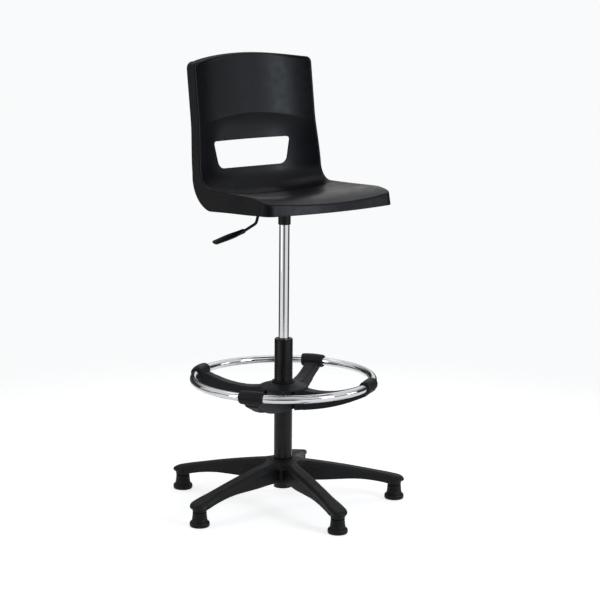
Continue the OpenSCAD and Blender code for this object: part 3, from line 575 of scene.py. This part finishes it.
def seat_shell():
    rows, s, v = shell_grid()
    n_rows, n_cols = s.shape
    skin = shell_pt(s, v)
    slope = tilt(s, v) * np.sign(s)
    inward = np.concatenate([np.sin(slope)[..., None], np.cos(slope)[..., None] * away(v)], -1)
    back = skin + WALL * inward
    points = [*skin.reshape(-1, 3), *back.reshape(-1, 3)]
    offset = n_rows * n_cols

    def at(j, i):
        return j * n_cols + i

    mid = n_cols // 2
    centre_v = (rows[:-1] + rows[1:]) / 2

    def is_hole(j, i):
        return HOLE_V < centre_v[j] < HOLE_V + HOLE_H and abs(i + 0.5 - mid) < HOLE_COLS

    faces = []
    for j in range(n_rows - 1):
        for i in range(n_cols - 1):
            if is_hole(j, i):
                continue
            quad = [at(j, i), at(j + 1, i), at(j + 1, i + 1), at(j, i + 1)]
            faces.append(quad)
            faces.append([q + offset for q in quad[::-1]])
    for j in range(n_rows - 1):
        for i in range(n_cols - 1):
            if not is_hole(j, i):
                continue
            for dj, di, a, b in (
                (0, -1, at(j, i), at(j + 1, i)),
                (0, 1, at(j + 1, i + 1), at(j, i + 1)),
                (-1, 0, at(j, i + 1), at(j, i)),
                (1, 0, at(j + 1, i), at(j + 1, i + 1)),
            ):
                if not is_hole(j + dj, i + di):
                    faces.append([a, b, b + offset, a + offset])
    border = [(j, 0, -1) for j in range(n_rows)]
    border += [(n_rows - 1, i, 0) for i in range(1, n_cols - 1)]
    border += [(j, n_cols - 1, 1) for j in range(n_rows - 1, -1, -1)]
    border += [(0, i, 0) for i in range(n_cols - 2, 0, -1)]
    columns = []
    for j, i, side in border:
        outer, inner = rim_points(float(s[j, i]), float(v[j, i]), side)
        first = len(points)
        points += outer
        points += inner
        count = len(outer)
        outer_ids = [at(j, i), *range(first, first + count)]
        inner_ids = [at(j, i) + offset, *range(first + count, first + 2 * count)]
        columns.append((outer_ids, inner_ids))
    for k, (outer_a, inner_a) in enumerate(columns):
        outer_b, inner_b = columns[(k + 1) % len(columns)]
        for m in range(len(outer_a) - 1):
            faces.append([outer_a[m], outer_a[m + 1], outer_b[m + 1], outer_b[m]])
            faces.append([inner_a[m], inner_b[m], inner_b[m + 1], inner_a[m + 1]])
        faces.append([outer_a[-1], inner_a[-1], inner_b[-1], outer_b[-1]])
    obj = new_object("seat_shell_fine", points, faces)
    soften_lips(obj)
    return dress(obj, "seat", "shell_plastic", ["seat_shell"], sharp_deg=60)


LIP_R, LIP_ANGLE = 1.3, math.radians(62)


def soften_lips(obj):
    """Rounds the hand hole's edges and the lower edge of the rim."""
    bm = bmesh.new()
    bm.from_mesh(obj.data)
    lips = [e for e in bm.edges if len(e.link_faces) == 2 and e.calc_face_angle(0) > LIP_ANGLE]
    bmesh.ops.bevel(
        bm, geom=lips, offset=LIP_R * MM, segments=BEVEL_SEGMENTS, profile=0.5,
        affect="EDGES", clamp_overlap=True,
    )
    bm.to_mesh(obj.data)
    bm.free()


SCREW_X, SCREW_Y, PLATE_Y, BOSS_R = 56.0, 50.0, -14.0, 8.0


def shell_bosses():
    """Four hollow posts under the seat, between the plate and the shell's wall."""
    plate_top = high("seat_plate", 2)
    for x, y in ((-1, -1), (-1, 1), (1, -1), (1, 1)):
        at_y = PLATE_Y + y * SCREW_Y
        v = V_SEAT + (SEAT_START[0] - at_y) / math.cos(RISE)
        top = shell_pt(np.array(SCREW_X / float(half_w(np.array(v)))), np.array(v))[2] - WALL / 2
        corner = ("r" if x > 0 else "l") + ("b" if y > 0 else "f")
        boss = lathe(
            "shell_boss_" + corner,
            [(3, plate_top), (BOSS_R, plate_top, 0.8), (BOSS_R, top), (3, top)],
            (x * SCREW_X, at_y), sides=40, radius=0,
        )
        dress(boss, "seat", "shell_plastic")


# ---- Seat mount, gas spring and column ----


def seat_mount():
    softened("seat_plate", "seat", "black_steel", 0.9)
    softened("plate_screws", "seat", "bright_steel", 0.5)
    softened("lever_bracket", "seat", "black_steel", 0.5)
    softened("lever_pivot_pin", "seat", "bright_steel", 0.35)
    softened("lever_crank", "lever", "black_steel", 0.5)
    bottom, top = low("taper_socket", 2), high("taper_socket", 2)
    flange = high("taper_socket", 0)
    profile = [
        (14, bottom), (17, bottom, 1.4), (17, top - 6, 2.5), (flange, top - 5, 1.2),
        (flange, top), (13.35, top),
    ]
    dress(lathe("taper_socket_fine", profile), "seat", "black_steel", ["taper_socket"])


def gas_spring():
    bottom, top = low("gas_cylinder", 2), high("gas_cylinder", 2)
    radius = high("gas_cylinder", 0)
    socket = low("taper_socket", 2)
    bore = radius - 1.5
    profile = [
        (bore, bottom), (radius, bottom, 1.0), (radius, socket, 0), (radius - 0.7, top - 6, 0),
        (radius - 0.7, top, 1.0), (3.6, top), (3.6, top - 6), (bore, top - 6),
    ]
    cylinder = lathe("gas_cylinder_fine", profile, sides=128)
    dress(cylinder, "seat", "chrome", ["gas_cylinder"])


def column():
    bottom, top = low("column_tube", 2), high("column_tube", 2)
    radius = high("column_tube", 0)
    profile = [(radius - 3, bottom), (radius, bottom), (radius, top), (radius - 3, top)]
    tube = lathe("column_tube_fine", profile, sides=128)
    dress(tube, "base", "tube_black", ["column_tube"])
    lip = high("guide_bush", 2)
    bore, sleeve = 14.05, low("guide_bush", 2)
    profile = [
        (bore, sleeve), (radius - 3, sleeve), (radius - 3, top), (radius - 0.5, top),
        (radius - 0.5, lip, 2.2), (bore + 1.5, lip), (bore, lip - 1.5),
    ]
    dress(lathe("guide_bush_fine", profile, sides=128), "base", "bush_plastic", ["guide_bush"])


# ---- Lever ----

PIVOT_Z = 853.0
ROD_PATH = [(-32.0, PIVOT_Z), (-74.0, PIVOT_Z), (-93.0, 791.0), (-141.0, 769.4)]
ROD_R, ROD_BEND_R = 4.0, 14.0


def rod_line():
    """The rod's centre line as (x, z) points, with its bends as arcs."""
    pts = [np.array(p) for p in ROD_PATH]
    line = [pts[0]]
    for a, p, b in zip(pts[:-2], pts[1:-1], pts[2:]):
        u, w = (a - p) / np.linalg.norm(a - p), (b - p) / np.linalg.norm(b - p)
        inside = math.acos(float(u @ w))
        reach = ROD_BEND_R / math.tan(inside / 2)
        bisector = (u + w) / np.linalg.norm(u + w)
        centre = p + bisector * ROD_BEND_R / math.sin(inside / 2)
        start, end = p + u * reach - centre, p + w * reach - centre
        for k in range(13):
            t = k / 12
            mixed = (1 - t) * start + t * end
            line.append(centre + mixed / np.linalg.norm(mixed) * ROD_BEND_R)
    line.append(pts[-1])
    return line


def sections(line, halves, roll=0.0):
    """Rings of points across a line in the XZ plane, each of a half width across it, a half height and a
    squareness; the rings can be turned about the line."""
    points, sides = [], 40
    for k, p in enumerate(line):
        ahead = line[min(k + 1, len(line) - 1)] - line[max(k - 1, 0)]
        ahead = ahead / np.linalg.norm(ahead)
        up = np.array([-ahead[1], ahead[0]])
        w, h, square = halves[k]
        for m in range(sides):
            a = 2 * math.pi * m / sides
            c, d = math.cos(a), math.sin(a)
            fat = (abs(c) ** square + abs(d) ** square) ** (-1 / square)
            across, rise = w * fat * c, h * fat * d
            across, rise = (
                across * math.cos(roll) - rise * math.sin(roll),
                across * math.sin(roll) + rise * math.cos(roll),
            )
            at = p + up * rise
            points.append((at[0], across, at[1]))
    return points, tube_faces(len(line), sides)


def lever():
    line = rod_line()
    points, faces = sections(line, [(ROD_R, ROD_R, 2)] * len(line))
    dress(new_object("lever_rod_fine", points, faces), "lever", "black_steel", ["lever_rod"])
    start, end = np.array([-131.6, 774.1]), np.array([-230.0, 749.7])
    line, halves = [], []
    for k in range(49):
        t = k / 48
        line.append(start + (end - start) * t)
        swell = float(smooth((t - 0.04) / 0.40))
        taper = float(smooth((t - 0.50) / 0.50))
        width = 6.3 + 6.7 * swell - 2.0 * taper
        height = 6.3 - 1.7 * swell - 0.7 * taper
        tip = math.sqrt(max(0.0, 1 - max(0.0, (t - 0.93) / 0.0705) ** 2))
        heel = math.sqrt(max(0.0, 1 - max(0.0, (0.03 - t) / 0.034) ** 2))
        shrink = max(0.12, min(tip, 0.75 + 0.25 * heel))
        halves.append((width * shrink, height * shrink, 2.4))
    points, faces = sections(line, halves, math.radians(-12))
    dress(new_object("lever_grip_fine", points, faces), "lever", "grip_plastic", ["lever_grip"])


# ---- Foot ring ----


def foot_ring():
    middle_z = middle("foot_ring")[2]
    half = (high("foot_ring", 2) - low("foot_ring", 2)) / 2
    radius = high("foot_ring", 0) - half
    points, around, sides = [], 288, 40
    for i in range(around):
        a = 2 * math.pi * i / around
        for k in range(sides):
            b = 2 * math.pi * k / sides
            r = radius + half * math.cos(b)
            points.append((r * math.cos(a), r * math.sin(a), middle_z + half * math.sin(b)))
    ring = new_object("foot_ring_fine", points, tube_faces(around, sides, closed=True))
    dress(ring, "foot_ring", "chrome", ["foot_ring"])
    spider(radius, middle_z, half)
    softened("clamp_screws", "foot_ring", "black_steel", 0.3)
    softened("ring_collet", "ring_collet", "nylon_black", 0.4)


def joined(name, pieces, voxel, passes):
    """Overlapping solids fused into one even mesh, so that their inner corners become fillets."""
    mesh = bpy.data.meshes.new(name)
    bm = bmesh.new()
    for piece in pieces:
        bm.from_mesh(piece.data)
    bm.to_mesh(mesh)
    bm.free()
    obj = bpy.data.objects.new(name, mesh)
    bpy.context.scene.collection.objects.link(obj)
    remesh = obj.modifiers.new("remesh", "REMESH")
    remesh.mode = "VOXEL"
    remesh.voxel_size = voxel * MM
    relax = obj.modifiers.new("relax", "SMOOTH")
    relax.factor = 0.5
    relax.iterations = passes
    evaluated(obj)
    for piece in pieces:
        bpy.data.objects.remove(piece)
    return obj


def loft(name, rings):
    """A solid through rings of points, all with as many points."""
    count = len(rings[0])
    points = [p for ring in rings for p in ring]
    return new_object(name, points, tube_faces(len(rings), count))


def along(angle_deg, r, across, z):
    """The point at distance r along a direction from the column, and across from it to the left."""
    a = math.radians(angle_deg)
    return (r * math.cos(a) - across * math.sin(a), r * math.sin(a) + across * math.cos(a), z)


CORNER_STEPS = 4


def box_section(half_w, bottom, top, radius):
    """A rectangle with rounded corners, as (across, z)."""
    radius = max(0.1, min(radius, half_w * 0.95, (top - bottom) * 0.49))
    corners = [
        (half_w - radius, top - radius, 0), (-half_w + radius, top - radius, 90),
        (-half_w + radius, bottom + radius, 180), (half_w - radius, bottom + radius, 270),
    ]
    out = []
    for x, z, start in corners:
        for k in range(CORNER_STEPS + 1):
            a = math.radians(start + 90 * k / CORNER_STEPS)
            out.append((x + radius * math.cos(a), z + radius * math.sin(a)))
    return out


def trough_section(half_w, wall, bottom, top, ceiling, radius):
    """A rounded rectangle hollowed from below, as (across, z)."""
    inner = half_w - wall
    outline = [
        (half_w, bottom, 1.6), (half_w, top, radius), (-half_w, top, radius), (-half_w, bottom, 1.6),
        (-inner, bottom, 1.6), (-inner, ceiling, 3), (inner, ceiling, 3), (inner, bottom, 1.6),
    ]
    return rounded(outline, 1.0, CORNER_STEPS)


# ---- Spider of the foot ring ----

CLAMP_R, CLAMP_L = 19.0, 66.0
RING_ANGLE, SPOKES = -145.5, 4
HUB_DROP, HUB_TOP_DROP = 79.0, 9.0  # the hub's lower and upper face below the ring's middle
SPOKE_WALL, SPOKE_EDGE_R, RIB_HALF, RIB_PITCH = 5, 5, 1.8, 48
VOXEL = 1.7  # of the fused mouldings


def spoke_half_w(r):
    return 16 + 24 * math.exp((30 - r) / 28) + 0.0016 * max(0, r - 190) ** 2


def spoke_low(r, hub_z):
    return hub_z - 1 + 0.0012 * (r - 30) ** 2


def spoke_high(r, ring_z):
    return min(ring_z - 2, ring_z - 27 + 0.0019 * (r - 105) ** 2)


def barrel(name, angle_deg, radius, z, bore, above, length):
    """Half of a clamp round the ring: a barrel along the ring with rounded ends and a bore."""
    rings, half = [], length / 2
    for i in range(33):
        x = half * math.sin(math.pi / 2 * (i - 16) / 16)
        end = max(0.0, abs(x) - half + 5) / 5
        outer = CLAMP_R - 1.6 * (x / half) ** 2 - 4.0 * (1 - math.sqrt(max(0.0, 1 - end * end)))
        turn = angle_deg + math.degrees(x / radius)
        sign = 1 if above else -1
        section = []
        for k in range(25):
            a = math.pi * k / 24
            section.append((outer * math.cos(a), sign * outer * math.sin(a)))
        for k in range(17):
            a = math.pi * (1 - k / 16)
            section.append((bore * math.cos(a), sign * bore * math.sin(a)))
        rings.append([along(turn, radius + u, 0, z + w) for u, w in section])
    return loft(name, rings)


def spider(radius, ring_z, ring_half):
    """The four spokes, their hub and the lower halves of the clamps as one moulding; the clamp caps."""
    hub_z = ring_z - HUB_DROP
    top_z = ring_z - HUB_TOP_DROP

    def solid(r):
        top = spoke_high(r, ring_z)
        return box_section(spoke_half_w(r), spoke_low(r, hub_z), top, SPOKE_EDGE_R)

    def hollow(r):
        top = spoke_high(r, ring_z)
        return trough_section(
            spoke_half_w(r), SPOKE_WALL, spoke_low(r, hub_z), top, top - SPOKE_WALL, SPOKE_EDGE_R
        )

    def rib(r, half):
        return box_section(half, spoke_low(r, hub_z) + 3, spoke_high(r, ring_z) - 4, 0.5)

    pieces = [lathe("hub", [
        (29.5, hub_z), (34, hub_z, 1), (34, hub_z + 42), (41, hub_z + 42), (41, hub_z, 1),
        (45, hub_z + 3, 2), (45, hub_z + 50, 6), (66, ring_z - 23, 1.5), (68, ring_z - 20, 1.5),
        (50, ring_z - 14, 4),
        (37, top_z, 3), (29.5, top_z),
    ], sides=120)]
    for k in range(SPOKES):
        angle = RING_ANGLE + 90 * k
        for section, stations in (
            (solid, range(42, 67, 4)), (hollow, arc(64, 202, 30)), (solid, arc(198, radius - 2, 14))
        ):
            rings = [[along(angle, r, x, z) for x, z in section(r)] for r in stations]
            pieces.append(loft("spoke", rings))
        web = [[along(angle, r, x, z) for x, z in rib(r, RIB_HALF)] for r in arc(62, 204, 12)]
        pieces.append(loft("web", web))
        for r in (57.5 + RIB_PITCH, 57.5 + 2 * RIB_PITCH):
            section = rib(r, spoke_half_w(r) - 4)
            sides = [[along(angle, r + d, x, z) for x, z in section] for d in (-RIB_HALF, RIB_HALF)]
            pieces.append(loft("rib", sides))
        pieces.append(barrel("saddle", angle, radius, ring_z, ring_half - 0.3, False, CLAMP_L))
    body = joined("ring_spider_fine", pieces, VOXEL, 5)
    dress(body, "foot_ring", "ring_nylon", ["ring_spider"], sharp_deg=75)
    for k in range(SPOKES):
        node = f"clamp_cap_{k + 1}"
        angle = RING_ANGLE + 90 * k
        cap = barrel(node + "_fine", angle, radius, ring_z, ring_half + 0.05, True, CLAMP_L)
        bevel_sharp(cap, 0.7, angle_deg=45)
        dress(cap, "foot_ring", "ring_nylon", [node])


# ---- Star base ----

LEG_HALF, FILLET_R, SECTOR = 19.0, 22.0, math.radians(36)
FILLET_AT = (LEG_HALF + FILLET_R) / math.tan(SECTOR)
LEG_TOP, BASE_R, NOSE_REACH, NOSE_R, NOSE_Z, NOSE_ROUND = 127.0, 315.0, 28.0, 23.0, 51.5, 9.0
LEG_END = BASE_R + NOSE_REACH
BASE_ANGLE, LEGS = -98.0, 5


def leg_high(r):
    return LEG_TOP - 0.15 * (r - 36) - 0.0002 * (r - 36) ** 2


def leg_low(r, neck_z):
    return max(neck_z, 65.7 - 0.0013 * max(0, r - 175) ** 2)


def wall_half_w(r):
    return LEG_HALF - 1 - 4 * (1 - float(smooth((r - 60) / 60)))


def cap_half_w(r):
    c = float(clamp01((r - LEG_END + NOSE_R) / NOSE_R))
    nose = mix(LEG_HALF, NOSE_R, float(smooth((r - 250) / 60))) * math.sqrt(1 - c * c)
    d = max(0.0, FILLET_AT - r)
    if d > FILLET_R:
        return r * math.tan(SECTOR)
    return min(r * math.tan(SECTOR), nose + FILLET_R - math.sqrt(FILLET_R**2 - d * d))


def star_base():
    """Five legs, each a broad rounded cap on two walls with ribs between them, round a tubular hub."""
    neck_z = low("star_base", 2)
    hub_z = 62.0
    pieces = [
        lathe("hub", [
            (25, hub_z), (30, hub_z, 1), (30, 104), (42, 104), (42, 122, 4), (38, 127, 4), (34, 130, 2),
            (25, 130),
        ], sides=120),
    ]
    for k in range(LEGS):
        angle = BASE_ANGLE + 72 * k
        cap = []
        stops = arc(24, 64, 20) + arc(64, LEG_END - NOSE_R, 30)[1:]
        stops += [LEG_END - NOSE_R + (NOSE_R - 0.4) * math.sin(math.pi / 2 * i / 10) for i in range(1, 11)]
        for r in stops:
            top = leg_high(r) - float(round_in(np.array(LEG_END - r), NOSE_ROUND))
            bottom = max(leg_high(r) - 16, NOSE_Z)
            bottom += float(round_in(np.array(LEG_END - r), 3.5))
            wide = cap_half_w(r)
            joined_here = wide > r * math.tan(SECTOR) - 0.01
            radius = 0.4 if joined_here else min(7.0, 0.5 + (r - 46) * 0.5)
            section = box_section(wide + (1.0 if joined_here else 0.0), bottom, top, radius)
            cap.append([along(angle, r, x, z) for x, z in section])
        pieces.append(loft("cap", cap))
        root = [[along(angle, r, x, z) for x, z in box_section(
            wall_half_w(r), leg_low(r, neck_z), leg_high(r) - 4, 1)] for r in arc(27, 52, 6)]
        pieces.append(loft("root", root))
        walls = [[along(angle, r, x, z) for x, z in trough_section(
            wall_half_w(r), 5, leg_low(r, neck_z), leg_high(r) - 3, leg_high(r) - 6, 3)]
            for r in arc(48, 300, 50)]
        pieces.append(loft("walls", walls))
        for i in range(1, 6):
            r = 51.5 + 48 * i
            rib = [[along(angle, r + d, x, z) for x, z in box_section(
                wall_half_w(r) - 4, leg_low(r, neck_z) + 2, leg_high(r) - 5, 0.5)] for d in (-1.9, 1.9)]
            pieces.append(loft("rib", rib))
        web = [[along(angle, r, x, z) for x, z in box_section(
            1.9, leg_low(r, neck_z) + 2, leg_high(r) - 5, 0.5)] for r in arc(48, 302, 20)]
        pieces.append(loft("web", web))
        centre = along(angle, BASE_R, 0, 0)
        pieces.append(lathe(
            "boss", [(0, neck_z), (19.5, neck_z, 1.2), (19.5, 60), (0, 60)], centre[:2], sides=64
        ))
    base = joined("star_base_fine", pieces, VOXEL, 6)
    dress(base, "base", "nylon_black", ["star_base"], sharp_deg=75)
    softened("hub_ring", "base", "bright_steel", 0.4)


def glides():
    """Bell glides: a flared foot and a slightly tapering neck with moulded grooves."""
    for k in range(1, 6):
        node = f"glide_{k}"
        centre = middle(node)
        foot = (high(node, 0) - low(node, 0)) / 2
        top = high(node, 2)
        neck = 19.0
        profile = [
            (0, 0), (foot - 4.5, 0, 1), (foot - 2, 0.9, 1.5), (foot, 4, 3), (foot, 11, 3),
            (foot - 1.5, 14.2, 3), (neck + 2.8, 16.4, 2),
        ]
        for i in range(3):
            z = 23 + 4.5 * i
            r = neck + 1.2 - 0.4 * i
            profile += [(r, z, 0.5), (r, z + 1.5, 0.3), (r - 1.0, z + 2.0, 0.3), (r - 1.0, z + 3.0, 0.3)]
        profile += [(neck, top - 2.5, 0.5), (neck, top, 1.6), (5.5, top), (5.5, 14), (0, 14)]
        glide = lathe(f"{node}_fine", profile, (centre[0], centre[1]), sides=72, radius=0.3)
        dress(glide, "base", "glide_plastic", [node])


seat_shell()
shell_bosses()
seat_mount()
gas_spring()
column()
lever()
foot_ring()
star_base()
glides()

for part in frame["record"]["subparts"]:
    node = frame["nodes"][part["node"]]
    node.data.materials.clear()
    node.data.materials.append(MATERIALS[part["material_slot"]])


# ---- Camera, floor and light ----

CAMERA_AT = (-3.37614, -4.72110, 1.71947)
CAMERA_TURN = math.radians(36)
CAMERA_PITCH = math.radians(11.181)
CAMERA_ROLL = math.radians(0.463)


def make_camera():
    data = bpy.data.cameras.new("camera")
    data.lens = 130.68
    data.sensor_width = 36
    data.clip_end = 100
    camera = bpy.data.objects.new("camera", data)
    bpy.context.scene.collection.objects.link(camera)
    level = Matrix.Rotation(-CAMERA_TURN, 4, "Z") @ Matrix.Rotation(math.pi / 2 - CAMERA_PITCH, 4, "X")
    camera.matrix_world = Matrix.Translation(CAMERA_AT) @ level @ Matrix.Rotation(CAMERA_ROLL, 4, "Z")
    bpy.context.scene.camera = camera


FLOOR_R, FLOOR_FADE = 2.0, 0.9


def by_ray(nodes, links, seen, mirrored, faint):
    """A value that differs for camera rays, glossy rays and all others; each can be a number or a socket."""
    path = nodes.new("ShaderNodeLightPath")
    value = faint
    for output, amount in (("Is Glossy Ray", mirrored), ("Is Camera Ray", seen)):
        pick = nodes.new("ShaderNodeMix")
        links.new(path.outputs[output], pick.inputs[0])
        for socket, given in ((pick.inputs[2], value), (pick.inputs[3], amount)):
            if isinstance(given, bpy.types.NodeSocket):
                links.new(given, socket)
            else:
                socket.default_value = given
        value = pick.outputs[0]
    return value


def make_floor():
    """A pale floor disc that fades out into the pale background."""
    points, faces, sides = [(0, 0, 0)], [], 96
    for k in range(sides):
        a = 2 * math.pi * k / sides
        points.append((FLOOR_R / MM * math.cos(a), FLOOR_R / MM * math.sin(a), 0))
        faces.append((0, k + 1, (k + 1) % sides + 1))
    floor = new_object("floor", points, faces)
    material = bpy.data.materials.new("floor")
    material.use_nodes = True
    nodes, links = material.node_tree.nodes, material.node_tree.links
    shader, output = nodes["Principled BSDF"], nodes["Material Output"]
    shader.inputs["Base Color"].default_value = (0.9, 0.9, 0.9, 1)
    shader.inputs["Roughness"].default_value = 0.9
    shader.inputs["Specular IOR Level"].default_value = 0.1
    shader.inputs["Emission Color"].default_value = (1, 1, 1, 1)
    glow = by_ray(nodes, links, FLOOR_GLOW_SEEN, FLOOR_GLOW_MIRRORED, FLOOR_GLOW_FAINT)
    links.new(glow, shader.inputs["Emission Strength"])
    place = nodes.new("ShaderNodeTexCoord")
    length = nodes.new("ShaderNodeVectorMath")
    length.operation = "LENGTH"
    fade = nodes.new("ShaderNodeMapRange")
    fade.inputs["From Min"].default_value = FLOOR_FADE
    fade.inputs["From Max"].default_value = FLOOR_R
    fade.interpolation_type = "SMOOTHSTEP"
    clear = nodes.new("ShaderNodeBsdfTransparent")
    blend = nodes.new("ShaderNodeMixShader")
    links.new(place.outputs["Object"], length.inputs[0])
    links.new(length.outputs["Value"], fade.inputs["Value"])
    links.new(fade.outputs["Result"], blend.inputs["Fac"])
    links.new(shader.outputs["BSDF"], blend.inputs[1])
    links.new(clear.outputs["BSDF"], blend.inputs[2])
    links.new(blend.outputs["Shader"], output.inputs["Surface"])
    floor.data.materials.append(material)


BACKGROUND = 0.965
FLOOR_GLOW_SEEN, FLOOR_GLOW_MIRRORED, FLOOR_GLOW_FAINT = 0.74, 0.5, 0.01
STUDIO = 0.06
# What polished parts mirror at eye level: angle from straight ahead of the viewer's side, and brightness.
PANELS = [
    (-180, 0.12), (-100, 0.03), (-86, 0.90), (-28, 0.95), (-16, 0.14), (14, 0.14), (24, 0.90), (84, 0.90),
    (98, 0.03), (180, 0.12),
]
OVERHEAD, BELOW = 0.75, 0.50
GAPS = [(0.14, 0.12), (0.90, 0.05)]  # dark gaps between the panels: height and half width
VIEWER_SIDE = (-math.sin(CAMERA_TURN), -math.cos(CAMERA_TURN), 0)
VIEWER_RIGHT = (math.cos(CAMERA_TURN), -math.sin(CAMERA_TURN), 0)
GAP_BRIGHTNESS = 0.03


def mirrored_studio(nodes, links, place, height):
    """Brightness of the studio's panels, by direction."""
    sides = []
    for axis in (VIEWER_RIGHT, VIEWER_SIDE):
        dot = nodes.new("ShaderNodeVectorMath")
        dot.operation = "DOT_PRODUCT"
        dot.inputs[1].default_value = axis
        links.new(place, dot.inputs[0])
        sides.append(dot.outputs["Value"])
    angle = nodes.new("ShaderNodeMath")
    angle.operation = "ARCTAN2"
    links.new(sides[0], angle.inputs[0])
    links.new(sides[1], angle.inputs[1])
    turn = nodes.new("ShaderNodeMapRange")
    turn.inputs["From Min"].default_value = -math.pi
    turn.inputs["From Max"].default_value = math.pi
    links.new(angle.outputs["Value"], turn.inputs["Value"])
    ramp = nodes.new("ShaderNodeValToRGB")
    stops = ramp.color_ramp.elements
    for degrees, value in PANELS[1:-1]:
        stops.new((degrees + 180) / 360).color = (value, value, value, 1)
    for end in (0, -1):
        stops[end].color = (PANELS[end][1], PANELS[end][1], PANELS[end][1], 1)
    links.new(turn.outputs["Result"], ramp.inputs["Fac"])
    value = ramp.outputs["Color"]
    for far, edge, brightness in ((0.62, 0.34, OVERHEAD), (-0.50, -0.30, BELOW)):
        share = nodes.new("ShaderNodeMapRange")
        share.inputs["From Min"].default_value = edge
        share.inputs["From Max"].default_value = far
        links.new(height, share.inputs["Value"])
        blend = nodes.new("ShaderNodeMix")
        links.new(share.outputs["Result"], blend.inputs[0])
        links.new(value, blend.inputs[2])
        blend.inputs[3].default_value = brightness
        value = blend.outputs[0]
    for centre, half in GAPS:
        gap = nodes.new("ShaderNodeMath")
        gap.operation = "COMPARE"
        gap.inputs[1].default_value, gap.inputs[2].default_value = centre, half
        links.new(height, gap.inputs[0])
        blend = nodes.new("ShaderNodeMix")
        links.new(gap.outputs[0], blend.inputs[0])
        links.new(value, blend.inputs[2])
        blend.inputs[3].default_value = GAP_BRIGHTNESS
        value = blend.outputs[0]
    return value


def make_world():
    """The camera sees a pale backdrop; the object mirrors a studio's panels and is lit by a dim gradient."""
    world = bpy.data.worlds.new("studio")
    world.use_nodes = True
    nodes, links = world.node_tree.nodes, world.node_tree.links
    nodes.clear()
    output = nodes.new("ShaderNodeOutputWorld")
    backdrop = nodes.new("ShaderNodeBackground")
    backdrop.inputs["Color"].default_value = (0.985, 0.99, 1.0, 1)
    place = nodes.new("ShaderNodeTexCoord").outputs["Generated"]
    split = nodes.new("ShaderNodeSeparateXYZ")
    climb = nodes.new("ShaderNodeMapRange")
    climb.inputs["From Min"].default_value = -0.1
    climb.inputs["From Max"].default_value = 0.9
    climb.inputs["To Min"].default_value = STUDIO * 0.35
    climb.inputs["To Max"].default_value = STUDIO * 2.2
    links.new(place, split.inputs["Vector"])
    links.new(split.outputs["Z"], climb.inputs["Value"])
    mirrored = mirrored_studio(nodes, links, place, split.outputs["Z"])
    strength = by_ray(nodes, links, BACKGROUND, mirrored, climb.outputs["Result"])
    links.new(strength, backdrop.inputs["Strength"])
    links.new(backdrop.outputs["Background"], output.inputs["Surface"])
    bpy.context.scene.world = world


def soft_light(name, place, target, width, height, power, colour=(1, 1, 1)):
    data = bpy.data.lights.new(name, "AREA")
    data.shape = "RECTANGLE"
    data.size, data.size_y = width, height
    data.energy = power
    data.color = colour
    light = bpy.data.objects.new(name, data)
    light.location = place
    aim = Vector(target) - Vector(place)
    light.rotation_mode = "QUATERNION"
    light.rotation_quaternion = aim.to_track_quat("-Z", "Y")
    light.visible_camera = False
    bpy.context.scene.collection.objects.link(light)


def make_lights():
    centre = (0, 0, 0.7)
    soft_light("overhead", (0.2, 0.6, 3.6), centre, 3.0, 3.0, 21)
    soft_light("front_right", (1.0, -2.9, 1.5), (0, 0, 1.0), 0.8, 1.5, 32, (0.82, 0.91, 1.0))
    soft_light("left_strip", (-3.0, 0.38, 1.1), (0, 0, 0.9), 0.45, 2.2, 8)
    soft_light("left_rear", (-2.3, 2.7, 1.3), (0, 0, 0.9), 1.7, 2.2, 6)
    soft_light("left_front", (-3.2, -2.2, 1.9), (0, 0, 0.6), 1.6, 1.8, 2.5)
    soft_light("right_front", (2.6, -1.9, 0.9), (0, 0, 0.8), 0.9, 1.2, 7)
    soft_light("rear_right", (2.6, 2.6, 1.8), centre, 1.6, 2.2, 8)


make_camera()
make_floor()
make_world()
make_lights()
bpy.context.scene.view_settings.view_transform = "Standard"
